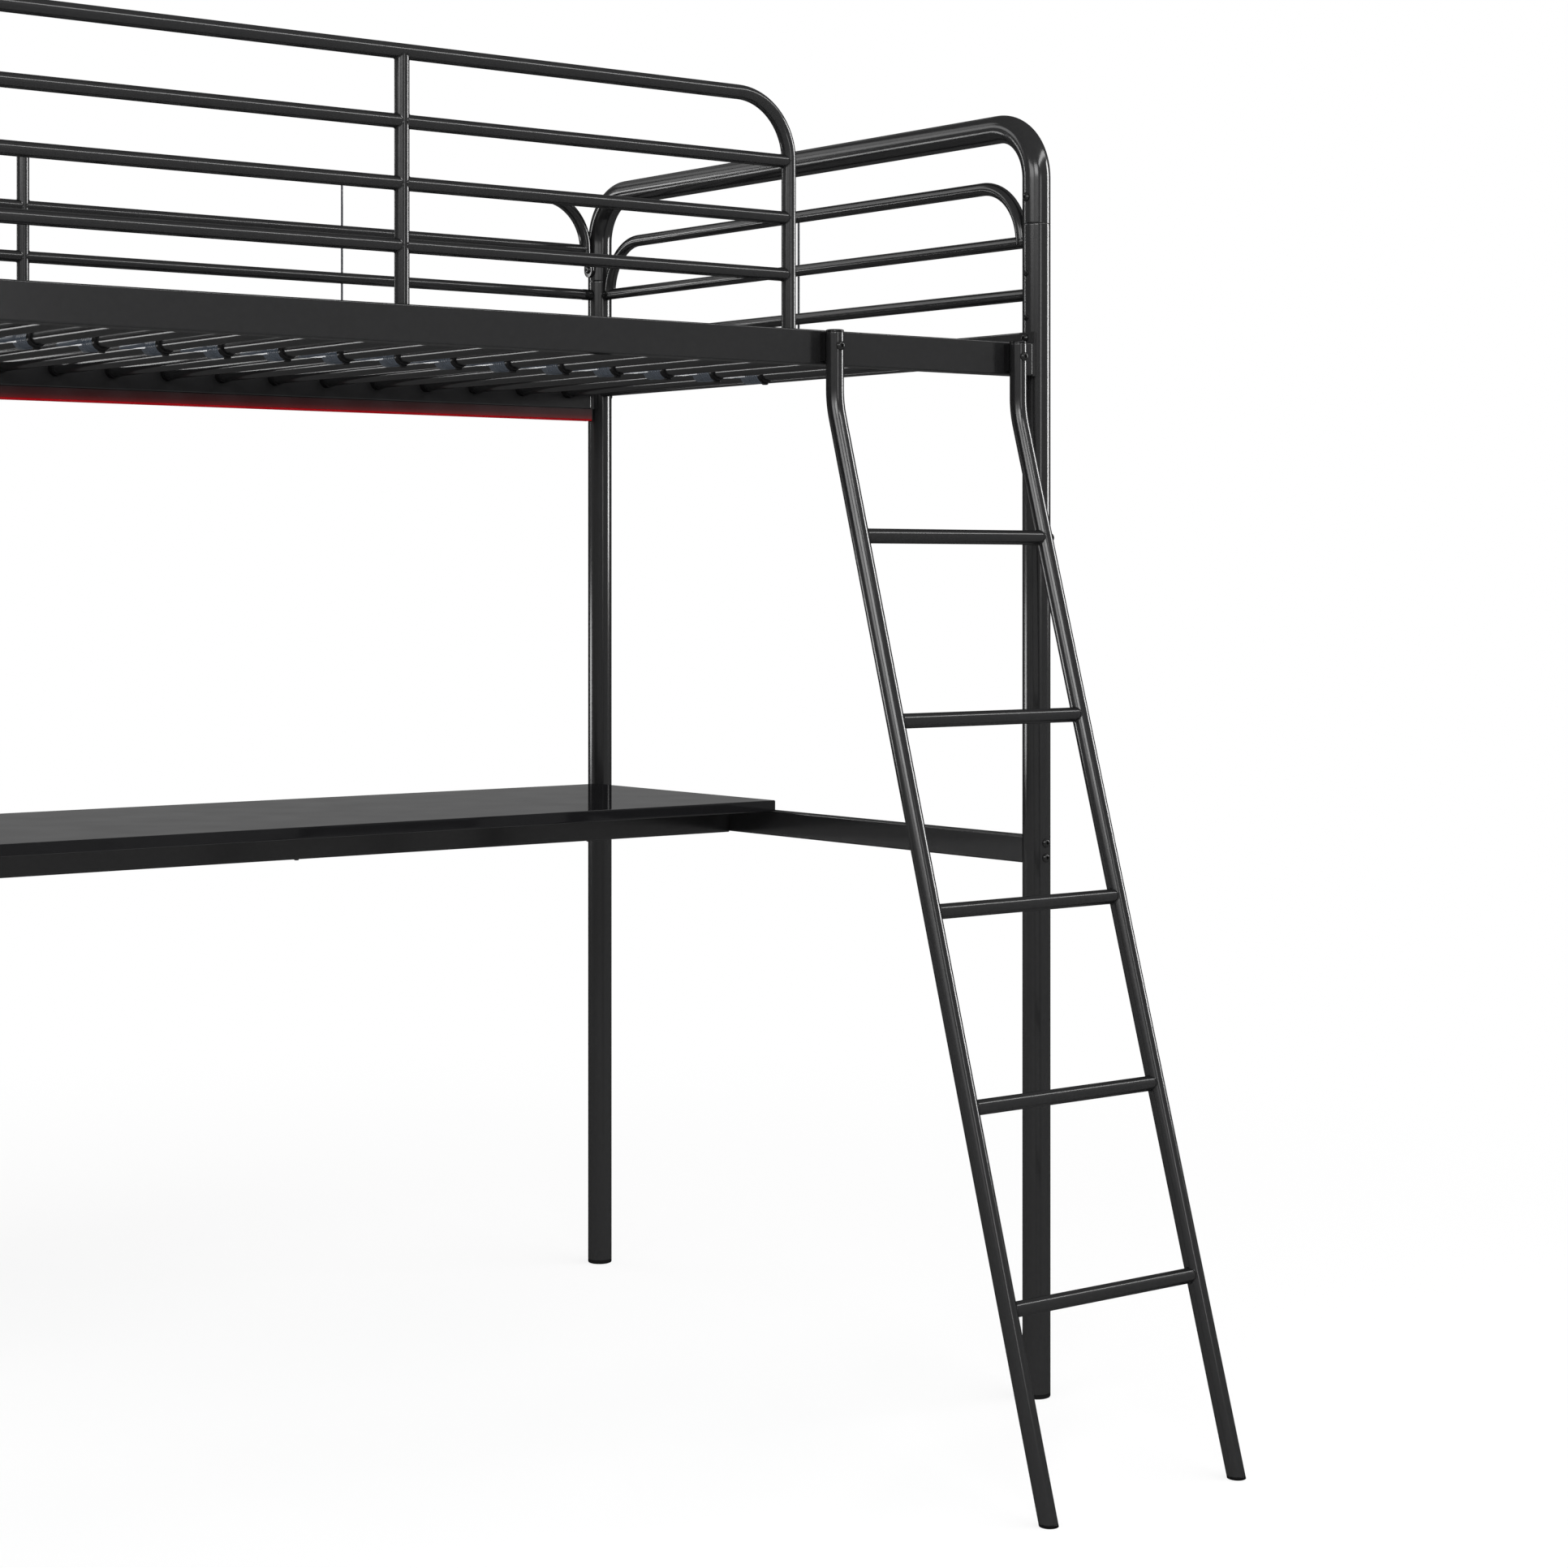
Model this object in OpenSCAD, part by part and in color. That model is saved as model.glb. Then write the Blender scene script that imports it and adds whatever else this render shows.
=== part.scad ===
// Loft bed with a desk under it, a bolted-on ladder and a light bar.
// Millimetres. X runs along the bed, Y across it with the ladder at -Y, Z up.
// The origin is on the floor, at the middle of the whole object's outline.

/* [Overall size] */
// Length between the post centres
post_span_x = 1990; // [1900:5:2080]
// Width between the post centres
post_span_y = 1041; // [1000:1:1100]
// Height of the top of the side rails
rail_top_z = 1425; // [1380:1:1460]
// Height of the upper surface of the desk
desk_top_z = 777; // [740:1:800]

/* [Posts and arches] */
// Outside diameter of the posts and end arches
post_d = 38.1; // [36:0.1:40]
// Wall of the posts and end arches
post_wall = 1.6; // [1.2:0.1:2.2]
// Height of the arch's centre line above the upper end bar
arch_rise = 159; // [150:1:170]
// Bend radius of the arch's centre line
arch_bend_r = 75; // [65:1:85]
// Height of the joint between post and arch above the upper end bar
joint_rise = 22; // [16:1:24]
// Half length of the sleeve inside the joint
sleeve_half = 55; // [48:1:60]
// Thickness of the foot caps under the posts
foot_t = 6; // [5:0.5:9]
// Length of the plug part of the foot caps
foot_plug = 24; // [18:1:30]

/* [End frames] */
// Height of the lowest bar above the side rail's top
bar_first = 69; // [66:1:72]
// Height between neighbouring bars
bar_pitch = 72; // [68:1:76]
// Diameter of the straight bars
bar_d = 16.8; // [15:0.1:17]
// Wall of the thin tubes
bar_wall = 1.2; // [1:0.1:1.5]
// Diameter of the bent bow under each arch
bow_d = 18; // [17.4:0.1:19]
// Height of the bow above the upper end bar
bow_rise = 80; // [76:1:84]
// Diameter of the thin tie rods
rod_d = 3.4; // [3:0.1:4]
// Width of the cross rails
cross_w = 20; // [16:1:24]
// Height of the cross rails
cross_h = 40; // [36:1:44]
// Height of the cross rail's top above the side rail's top
cross_rise = 17.5; // [16.5:0.5:18.5]
// Wall of the rectangular rails
rail_wall = 1.5; // [1.2:0.1:2]

/* [Side rails] */
// Height of the side rails
rail_h = 44; // [42:1:48]
// Thickness of the side rails
rail_w = 30; // [28:1:32]
// Outside corner radius of the rectangular rails
rail_corner_r = 3; // [2.2:0.1:4]
// Clear length left between a rail's end and the post's near side
rail_end_gap = 6; // [5:0.5:8]
// Thickness of the saddle bracket that hugs a post
saddle_t = 2.5; // [2:0.1:3.5]
// How far the saddle's wings rise above the side rail
saddle_wing = 16; // [15:0.5:18]

/* [Slats] */
// Number of slats
slat_count = 22; // [18:1:24]
// Distance between neighbouring slats
slat_pitch = 88; // [80:1:88]
// Diameter of the slat tubes
slat_d = 19; // [17:0.5:20]
// Height of the slats' underside above the side rail's underside
slat_lift = 18; // [16:0.5:20]
// Wall thickness of the plastic clip and collar around a slat
clip_t = 4; // [3:0.5:5]
// Length of the plastic clip
clip_len = 38; // [32:1:42]
// Length of the dark collar beside the clip
collar_len = 15; // [12:1:18]
// Length of the clip's tapered tongues
tongue_len = 64; // [50:1:70]

/* [Guards] */
// Height of the guards' top tube above the uppermost straight bar
guard_rise = 81; // [78:1:84]
// Diameter of the guards' bent top tube
guard_top_d = 18.5; // [18:0.1:19.5]
// Diameter of the guards' uprights
guard_upright_d = 17.6; // [17.2:0.1:17.9]
// Bend radius of the guards' top tube
guard_bend_r = 80; // [70:1:84]
// Distance from the front guard's end leg to the nearer ladder rail
guard_to_ladder = 47.65; // [40:0.05:60]
// Distance of the back guard's tie rods from the bed's middle
guard_rod_x = 518; // [450:1:560]
// Length of the dark ferrules between guard bar and post
ferrule_len = 15; // [12:1:20]

/* [Ladder] */
// Distance of the ladder's middle from the nearest post
ladder_inset = 221.7; // [210:0.1:232]
// Distance between the ladder rails' centres
ladder_span = 314.3; // [300:0.1:322]
// Diameter of the ladder rails
ladder_d = 23; // [22:0.1:25.4]
// Lean of the ladder from the vertical, in degrees
ladder_lean = 16.66; // [14:0.01:19]
// Depth of the ladder's bend below the side rail's top
ladder_bend_drop = 94; // [90:1:110]
// Bend radius of the ladder rails
ladder_bend_r = 130; // [110:1:160]
// Space between ladder rail and side rail
ladder_gap = 4; // [3:0.5:6]
// Number of rungs
rung_count = 5; // [4:1:5]
// Height of the lowest rung
rung_first_z = 238.6; // [225:0.1:250]
// Height between neighbouring rungs
rung_pitch = 230.9; // [220:0.1:234]
// Diameter of the rungs
rung_d = 19; // [17:0.1:20]
// Thickness of the ladder's foot and top caps
ladder_cap_t = 4; // [3:0.5:6]

/* [Desk] */
// Thickness of the desk top
desk_t = 16; // [15:0.5:20]
// Depth of the desk top
desk_depth = 470; // [440:1:500]
// Height of the desk beams
beam_h = 40; // [38:1:44]
// Width of the desk beams and desk end rails
beam_w = 20; // [18:1:22]
// How far the front beam is set back from the desk's front edge
beam_setback = 127; // [100:1:150]
// How far the back beam is set in from the desk's back edge
beam_back_inset = 20; // [15:1:40]
// Height of the desk end rails
desk_end_h = 37; // [36:1:38]
// Distance between the two bolts at each end of a desk end rail
desk_bolt_pitch = 20; // [18:1:22]

/* [Light bar] */
// Height of the light bar
light_h = 19; // [16:1:22]
// Width of the light bar
light_w = 20; // [16:1:24]
// Height of the glowing diffuser that shows below the channel
light_strip_h = 2.5; // [2:0.1:4]

/* [Fasteners] */
// Diameter of the bolts
bolt_d = 6; // [5:0.5:6]
// Diameter of the bolt heads
bolt_head_d = 12; // [10:0.5:13]
// Height of the bolt heads
bolt_head_h = 3.3; // [2.5:0.1:4]
// Diameter of the screws
screw_d = 4; // [3.5:0.5:4.5]
// Clearance between parts that fit inside each other
fit = 0.2; // [0.1:0.05:0.3]

/* [Hidden] */
$fn = 48;

// Posts
post_r = post_d / 2;
half_x = post_span_x / 2;
half_y = post_span_y / 2;
post_in_x = half_x - post_r;
post_in_y = half_y - post_r;
bore_d = post_d - 2 * post_wall;
bolt_hole_d = bolt_d + fit;
bolt_reach = 14;
nut_d = 1.9 * bolt_d;
nut_t = 5;
RIGHT = 1;
LEFT = -1;
BACK = 1;
FRONT = -1;
CORNERS = [[LEFT, FRONT], [RIGHT, FRONT], [LEFT, BACK], [RIGHT, BACK]];
// Corners at which a guard ends on its post; the ladder opening is at the fourth
GUARD_CORNERS = [[LEFT, FRONT], [LEFT, BACK], [RIGHT, BACK]];

// Heights
bar_low_z = rail_top_z + bar_first;
bar_mid_z = bar_low_z + bar_pitch;
bar_high_z = bar_mid_z + bar_pitch;
guard_top_z = bar_high_z + guard_rise;
arch_z = bar_mid_z + arch_rise;
joint_z = bar_mid_z + joint_rise;
bow_z = bar_mid_z + bow_rise;
rail_low_z = rail_top_z - rail_h;
rail_mid_z = rail_top_z - rail_h / 2;
cross_top_z = rail_top_z + cross_rise;
tab_bolt_rise = 18;
arch_bolt_rise = 36;
tab_bolt_z = joint_z + tab_bolt_rise;
arch_bolt_z = joint_z + arch_bolt_rise;
bracket_bolt_z = rail_top_z + bolt_head_d / 2 + 2;
plug_below_bar = 33;
plug_above_bar = 27;
plug_heights = [bar_low_z - plug_below_bar, bar_low_z + plug_above_bar];

// Side rails, saddles and slats
rail_out_y = half_y + post_r;
rail_in_y = rail_out_y - rail_w;
rail_end_x = post_in_x - rail_end_gap;
saddle_r = post_r + saddle_t;
saddle_angle = 45;
saddle_drop = 1;
slat_z = rail_low_z + slat_lift + slat_d / 2;
slat_cap_t = 3;
slat_cap_len = 14;
slat_cap_wall = 2;
slat_end_y = rail_in_y - slat_cap_t;
sleeve_r = slat_d / 2 + fit / 2;

// Guards
guard_leg_x = post_in_x - guard_top_d / 2;
tab_t = 4;
tab_half = 12;
tab_top_z = tab_bolt_z + tab_half;
flat_len = 10;
ferrule_d = bar_d + 0.8;

// Ladder: the rails' centre line bends from upright to leaning
ladder_r = ladder_d / 2;
ladder_wall = 1.5;
ladder_y = -(rail_out_y + ladder_gap + ladder_r);
bend_tangent = ladder_bend_r * tan(ladder_lean / 2);
bend_top_z = rail_top_z - ladder_bend_drop + bend_tangent;
lean_start_y = ladder_y - ladder_bend_r * (1 - cos(ladder_lean));
lean_start_z = bend_top_z - ladder_bend_r * sin(ladder_lean);
ladder_x = half_x - ladder_inset;
ladder_rails_x = [ladder_x - ladder_span / 2, ladder_x + ladder_span / 2];
guard_end_x = round(100 * (ladder_rails_x[0] - guard_to_ladder)) / 100;
ladder_bolt_z = rail_mid_z + 1;
spacer_wrap = 5;
spacer_h = 36;
top_rung_z = rung_z(rung_count - 1);
function lean_y(z) = lean_start_y - (lean_start_z - z) * tan(ladder_lean);
function rung_z(i) = rung_first_z + i * rung_pitch;

// Desk
desk_low_z = desk_top_z - desk_t;
desk_back_y = post_in_y - 0.5;
desk_front_y = desk_back_y - desk_depth;
desk_half_x = post_in_x;
beam_low_z = desk_low_z - beam_h;
beam_front_y = desk_front_y + beam_setback;
beam_back_y = desk_back_y - beam_back_inset - beam_w;
beam_half_x = half_x - beam_w / 2;
desk_end_mid_z = desk_low_z - beam_h / 2;
desk_bolt_z = [desk_end_mid_z - desk_bolt_pitch / 2, desk_end_mid_z + desk_bolt_pitch / 2];
plug_len = 22;
screw_bite = 10;
screw_count = 4;

// Light bar
light_low_z = rail_low_z - light_h;
light_half_x = rail_end_x + 4;
light_cap_t = 2;
light_wall = 1.4;
light_screw_count = 5;

// The whole outline's middle across the bed
outline_back_y = half_y + post_r + bolt_head_h;
outline_front_y = lean_y(0) - ladder_r / cos(ladder_lean);
shift_y = -(outline_back_y + outline_front_y) / 2;

STEEL = "#2b2b2d";
PLASTIC = "#1b1b1c";
CLIP = "#5b6675";
BOLT = "#3a3a3d";
BOARD = "#141416";
GLOW = "#e0182a";

// ---- Helpers ----

module placed() {
    translate([0, shift_y, 0]) children();
}

module along_x() {
    rotate([0, 90, 0]) children();
}

module along_y() {
    rotate([-90, 0, 0]) children();
}

module ring(d, wall) {
    difference() {
        circle(d = d);
        circle(d = d - 2 * wall);
    }
}

module tube(d, wall, len) {
    linear_extrude(height = len) ring(d, wall);
}

// Tube from low to high along X
module tube_x(d, wall, low, high) {
    translate([low, 0, 0]) along_x() tube(d, wall, high - low);
}

// Tube from low to high along Y
module tube_y(d, wall, low, high) {
    translate([0, low, 0]) along_y() tube(d, wall, high - low);
}

// Quarter or part bend that starts at (bend_r, 0) and turns up
module elbow(bend_r, angle, d, wall) {
    rotate_extrude(angle = angle) translate([bend_r, 0]) ring(d, wall);
}

// Rectangle with round corners, centred
module round_rect(w, h, r) {
    square([w - 2 * r, h], center = true);
    square([w, h - 2 * r], center = true);
    for (sx = [-1, 1], sy = [-1, 1])
        translate([sx * (w / 2 - r), sy * (h / 2 - r)]) circle(r = r);
}

// Hollow rectangular section, centred
module box_section(w, h) {
    difference() {
        round_rect(w, h, rail_corner_r);
        round_rect(w - 2 * rail_wall, h - 2 * rail_wall, rail_corner_r - rail_wall);
    }
}

// Box section of width w and height h from low to high along X
module box_x(w, h, low, high) {
    translate([low, 0, 0]) rotate([90, 0, 90]) linear_extrude(height = high - low)
        box_section(w, h);
}

// Box section of width w and height h from low to high along Y
module box_y(w, h, low, high) {
    translate([0, high, 0]) rotate([90, 0, 0]) linear_extrude(height = high - low)
        box_section(w, h);
}

// Solid rod through the origin along X or Y, for drilling
module drill_x(d, len) {
    rotate([0, 90, 0]) cylinder(d = d, h = len, center = true);
}

module drill_y(d, len) {
    rotate([90, 0, 0]) cylinder(d = d, h = len, center = true);
}

// Button-head bolt, head up from z = 0, shank down; the dome ends in a flat with a hex socket
module bolt(shank) {
    socket_d = bolt_head_d / 2.6;
    socket_depth = bolt_head_h * 0.6;
    rim = 0.8;
    head_r = bolt_head_d / 2;
    flat_r = socket_d / 2 + 0.6;
    dome_z = (bolt_head_h * bolt_head_h - rim * rim + flat_r * flat_r - head_r * head_r)
        / (2 * (bolt_head_h - rim));
    dome_r = sqrt(head_r * head_r + (rim - dome_z) * (rim - dome_z));
    difference() {
        union() {
            translate([0, 0, -shank]) cylinder(d = bolt_d, h = shank);
            intersection() {
                translate([0, 0, dome_z]) sphere(r = dome_r);
                cylinder(d = bolt_head_d, h = bolt_head_h);
            }
        }
        translate([0, 0, bolt_head_h - socket_depth]) cylinder(d = socket_d, h = bolt_head_h, $fn = 6);
    }
}

// Bolt whose head faces the sx side along X, or the sy side along Y
module bolt_x(sx, shank) {
    rotate([0, 90 * sx, 0]) bolt(shank);
}

module bolt_y(sy, shank) {
    rotate([-90 * sy, 0, 0]) bolt(shank);
}

module nut(thickness) {
    difference() {
        cylinder(d = nut_d, h = thickness, $fn = 6);
        translate([0, 0, -1]) cylinder(d = bolt_hole_d, h = thickness + 2);
    }
}

module at_corner(c) {
    translate([c[0] * half_x, c[1] * half_y, 0]) children();
}

// ---- Posts, arches and their joints ----

module post(c) {
    color(STEEL) placed() at_corner(c) difference() {
        translate([0, 0, foot_t]) tube(post_d, post_wall, joint_z - foot_t);
        translate([0, 0, rail_mid_z]) drill_x(bolt_hole_d, post_d * 2);
        inner_drill(c, bracket_bolt_z, bolt_hole_d);
        for (z = plug_heights) inner_drill(c, z, bolt_hole_d);
        for (z = desk_bolt_z) translate([0, 0, z]) drill_y(bolt_hole_d, post_d * 2);
    }
}

// Hole only in the wall that faces along the bed
module inner_drill(c, z, d) {
    translate([-c[0] * post_r, 0, z]) drill_x(d, post_r);
}

module post_front_left() post([LEFT, FRONT]);
module post_front_right() post([RIGHT, FRONT]);
module post_back_left() post([LEFT, BACK]);
module post_back_right() post([RIGHT, BACK]);

module post_foot_caps() {
    edge_r = 2;
    plug_r = bore_d / 2 - fit;
    color(PLASTIC) placed() for (c = CORNERS) at_corner(c) {
        rotate_extrude() {
            square([post_r - edge_r, foot_t]);
            translate([0, edge_r]) square([post_r, foot_t - edge_r]);
            intersection() {
                translate([post_r - edge_r, edge_r]) circle(r = edge_r);
                square([post_r, foot_t]);
            }
            translate([0, foot_t]) square([plug_r, foot_plug]);
        }
    }
}

// Bent hoop in the YZ plane with its legs down to foot_z
module hoop(half_span, top_z, foot_z, bend_r, d, wall) {
    straight = half_span - bend_r;
    translate([0, 0, top_z]) tube_y(d, wall, -straight, straight);
    for (sy = [0, 1]) mirror([0, sy, 0]) {
        translate([0, straight, top_z - bend_r]) rotate([90, 0, 90]) elbow(bend_r, 90, d, wall);
        translate([0, half_span, foot_z]) tube(d, wall, top_z - bend_r - foot_z);
    }
}

module end_arch(sx) {
    color(STEEL) placed() translate([sx * half_x, 0, 0]) difference() {
        hoop(half_y, arch_z, joint_z, arch_bend_r, post_d, post_wall);
        for (sy = [FRONT, BACK]) {
            z = joint_bolt_z([sx, sy]);
            translate([-sx * post_r, sy * half_y, z]) drill_x(bolt_hole_d, post_r);
        }
    }
}

// The joint bolt also holds the guard's end tab where a guard ends on the post
function joint_bolt_z(c) = c == [RIGHT, FRONT] ? arch_bolt_z : tab_bolt_z;

module end_arch_left() end_arch(LEFT);
module end_arch_right() end_arch(RIGHT);

module joint_sleeves() {
    sleeve_d = bore_d - 2 * fit;
    color(BOLT) placed() for (c = CORNERS) at_corner(c) difference() {
        translate([0, 0, joint_z - sleeve_half]) tube(sleeve_d, post_wall, 2 * sleeve_half);
        inner_drill(c, joint_bolt_z(c), bolt_hole_d);
    }
}

module joint_bolts() {
    grip = 2 * post_wall + bolt_reach;
    color(BOLT) placed() for (c = CORNERS) {
        tab = c == [RIGHT, FRONT] ? 0 : tab_t;
        at_corner(c) translate([-c[0] * (post_r + tab), 0, joint_bolt_z(c)])
            bolt_x(-c[0], grip + tab);
    }
}

module post_plugs() {
    plug_d = 9;
    shank_len = 8;
    dome = 2;
    color(PLASTIC) placed() for (c = CORNERS, z = plug_heights)
        at_corner(c) translate([-c[0] * post_r, 0, z]) rotate([0, -90 * c[0], 0]) {
            cylinder(d = plug_d, h = dome / 2);
            translate([0, 0, dome / 2]) cylinder(d1 = plug_d, d2 = plug_d / 2, h = dome / 2);
            translate([0, 0, -shank_len]) cylinder(d = bolt_d, h = shank_len);
        }
}

// ---- End frames ----

module end_bow(sx) {
    leg_y = post_in_y - bow_d / 2 - fit;
    color(STEEL) placed() translate([sx * half_x, 0, 0]) difference() {
        hoop(leg_y, bow_z, bar_mid_z - 0.01, bow_rise, bow_d, bar_wall);
        translate([0, 0, bar_mid_z]) drill_y(bar_d, post_span_y);
        translate([-bow_d, -half_y, bar_mid_z - bow_d]) cube([2 * bow_d, 2 * half_y, bow_d + 2]);
    }
}

module end_bow_left() end_bow(LEFT);
module end_bow_right() end_bow(RIGHT);

// Cuts the shape of both posts of one end out of what runs between them
module cope_posts(sx) {
    difference() {
        children();
        for (sy = [FRONT, BACK])
            translate([sx * half_x, sy * half_y, 0]) cylinder(d = post_d, h = arch_z);
    }
}

module end_bars(sx) {
    color(STEEL) placed() for (z = [bar_low_z, bar_mid_z])
        cope_posts(sx) translate([sx * half_x, 0, z])
            tube_y(bar_d, bar_wall, -half_y + post_r / 2, half_y - post_r / 2);
}

module end_bars_left() end_bars(LEFT);
module end_bars_right() end_bars(RIGHT);

// Thin rod standing between two heights
module rod(low, high) {
    translate([0, 0, low]) cylinder(d = rod_d, h = high - low, $fn = 24);
}

module end_tie_rods() {
    color(CLIP) placed() for (sx = [LEFT, RIGHT]) translate([sx * half_x, 0, 0]) {
        rod(cross_top_z, bar_low_z - bar_d / 2);
        rod(bar_low_z + bar_d / 2, bar_mid_z - bar_d / 2);
        rod(bar_mid_z + bar_d / 2, bow_z - bow_d / 2);
    }
}

module cross_rail(sx) {
    color(STEEL) placed() cope_posts(sx)
        translate([sx * half_x, 0, cross_top_z - cross_h / 2])
            box_y(cross_w, cross_h, -half_y + post_r / 2, half_y - post_r / 2);
}

module cross_rail_left() cross_rail(LEFT);
module cross_rail_right() cross_rail(RIGHT);

// ---- Side rails ----

module side_rail(sy) {
    color(STEEL) placed() difference() {
        translate([0, sy * (rail_out_y - rail_w / 2), rail_mid_z])
            box_x(rail_w, rail_h, -rail_end_x, rail_end_x);
        if (sy == FRONT) for (x = ladder_rails_x)
            translate([x, -rail_out_y, ladder_bolt_z]) drill_y(bolt_hole_d, rail_w);
        if (sy == BACK) for (i = [0 : light_screw_count - 1])
            translate([light_screw_x(i), light_mid_y(), rail_low_z])
                cylinder(d = screw_d + fit, h = rail_w, center = true);
    }
}

module side_rail_front() side_rail(FRONT);
module side_rail_back() side_rail(BACK);

// Plan of a saddle: a shell around the post joined to a plate on the rail's end
module saddle_plan(c) {
    reach = 2 * saddle_r;
    mid_y = c[1] * (rail_out_y - rail_w / 2 - half_y);
    difference() {
        union() {
            intersection() {
                circle(r = saddle_r);
                polygon([[0, 0], [-c[0] * reach, -reach * tan(saddle_angle)],
                    [-c[0] * reach, reach * tan(saddle_angle)]]);
            }
            translate([-c[0] * (post_r + rail_end_gap / 2), mid_y])
                square([rail_end_gap, rail_w], center = true);
        }
        circle(r = post_r);
        translate([0, c[1] * post_r]) square([2 * post_r, 2 * post_r * 0.3], center = true);
    }
}

// The flat plate stops at the rail's top; the curved part under the bracket bolt rises above it
module rail_saddles() {
    color(STEEL) placed() for (c = CORNERS) at_corner(c) difference() {
        translate([0, 0, rail_low_z]) linear_extrude(height = rail_h + saddle_wing) saddle_plan(c);
        translate([-c[0] * (post_r + saddle_t + rail_end_gap), 0, rail_top_z + rail_h / 2])
            cube([2 * rail_end_gap, 4 * rail_w, rail_h], center = true);
        translate([0, 0, bracket_bolt_z]) drill_x(bolt_hole_d, 2 * post_d);
        translate([0, 0, rail_mid_z]) drill_x(bolt_hole_d, 2 * post_d);
    }
}

// Bolts that run through the posts into the ends of the side rails
module rail_bolts() {
    shank = post_d + rail_end_gap + 8;
    color(BOLT) placed() for (c = CORNERS) at_corner(c)
        translate([c[0] * post_r, 0, rail_mid_z]) bolt_x(c[0], shank);
}

module rail_nuts() {
    color(BOLT) placed() for (c = CORNERS) at_corner(c)
        translate([-c[0] * (post_r + rail_end_gap), 0, rail_mid_z])
            rotate([0, -90 * c[0], 0]) nut(nut_t);
}

module bracket_bolts() {
    color(BOLT) placed() for (c = CORNERS) at_corner(c)
        translate([-c[0] * (post_r + saddle_t), 0, bracket_bolt_z])
            bolt_x(-c[0], post_wall + saddle_t + bolt_reach);
}

// ---- Slats ----

function slat_x(i) = (i - (slat_count - 1) / 2) * slat_pitch;

module each_slat() {
    for (i = [0 : slat_count - 1]) translate([slat_x(i), 0, slat_z]) children();
}

module slat_tubes(sy) {
    color(STEEL) placed() each_slat() rotate([0, 0, sy == BACK ? 0 : 180])
        tube_y(slat_d, bar_wall, fit, slat_end_y);
}

module slat_tubes_front() slat_tubes(FRONT);
module slat_tubes_back() slat_tubes(BACK);

// Plastic sleeve with grip ribs, a latch window below and a tapered tongue on either side
module slat_clip() {
    outer_r = slat_d / 2 + clip_t;
    rib_gap = clip_len / 4;
    window = 9;
    tongue_rise = 1;
    root_half = 3.75;
    tip_half = 1;
    tip_y = clip_len + tongue_len;
    difference() {
        union() {
            along_y() cylinder(r = outer_r - 0.8, h = clip_len);
            for (k = [0 : 3]) translate([0, k * rib_gap, 0]) along_y()
                cylinder(r = outer_r, h = rib_gap * 0.6);
            intersection() {
                translate([0, clip_len, 0]) along_y() cylinder(r = outer_r - 2, h = tongue_len);
                translate([0, 0, tongue_rise]) rotate([90, 0, 90])
                    linear_extrude(height = 2 * outer_r, center = true)
                        polygon([[clip_len, -root_half], [tip_y, -tip_half],
                            [tip_y, tip_half], [clip_len, root_half]]);
            }
        }
        translate([0, -1, 0]) along_y() cylinder(r = sleeve_r, h = clip_len + tongue_len + 2);
        translate([-window / 2, rib_gap / 3, -outer_r - 1]) cube([window, window, clip_t + 2]);
    }
}

module slat_clips() {
    color(CLIP) placed() each_slat() slat_clip();
}

module slat_collars() {
    lip = 0.8;
    color(PLASTIC) placed() each_slat() difference() {
        translate([0, -collar_len, 0]) along_y() cylinder(r = slat_d / 2 + clip_t - lip, h = collar_len);
        translate([0, -collar_len - 1, 0]) along_y() cylinder(r = sleeve_r, h = collar_len + 2);
    }
}

module slat_end_caps() {
    outer_r = sleeve_r + slat_cap_wall;
    color(PLASTIC) placed() each_slat() for (sy = [0, 1]) mirror([0, sy, 0])
        translate([0, rail_in_y - slat_cap_len, 0]) along_y() difference() {
            cylinder(r = outer_r, h = slat_cap_len);
            translate([0, 0, -1]) cylinder(r = sleeve_r, h = slat_cap_len - slat_cap_t + 1);
        }
}

// ---- Guards ----

// Leg and bend at the end of a guard's top tube, at x towards sx
module guard_end(sx, x, foot_z) {
    translate([sx * (x - guard_bend_r), 0, guard_top_z - guard_bend_r])
        mirror([sx < 0 ? 1 : 0, 0, 0]) rotate([90, 0, 0])
            elbow(guard_bend_r, 90, guard_top_d, bar_wall);
    translate([sx * x, 0, foot_z])
        tube(guard_top_d, bar_wall, guard_top_z - guard_bend_r - foot_z);
}

module guard_top(sy, right_x, right_foot_z) {
    flat_z = tab_top_z + flat_len;
    color(STEEL) placed() translate([0, sy * half_y, 0]) {
        translate([0, 0, guard_top_z]) tube_x(guard_top_d, bar_wall,
            -guard_leg_x + guard_bend_r, right_x - guard_bend_r);
        guard_end(LEFT, guard_leg_x, flat_z);
        guard_end(RIGHT, right_x, right_foot_z);
    }
}

module front_guard_top() guard_top(FRONT, guard_end_x, rail_top_z);
module back_guard_top() guard_top(BACK, guard_leg_x, tab_top_z + flat_len);

module guard_upright(sy) {
    color(STEEL) placed() translate([0, sy * half_y, 0]) difference() {
        translate([0, 0, rail_top_z]) tube(guard_upright_d, bar_wall, guard_top_z - rail_top_z);
        translate([0, 0, guard_top_z]) drill_x(guard_top_d, post_span_x / 2);
    }
}

module front_guard_upright() guard_upright(FRONT);
module back_guard_upright() guard_upright(BACK);

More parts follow.
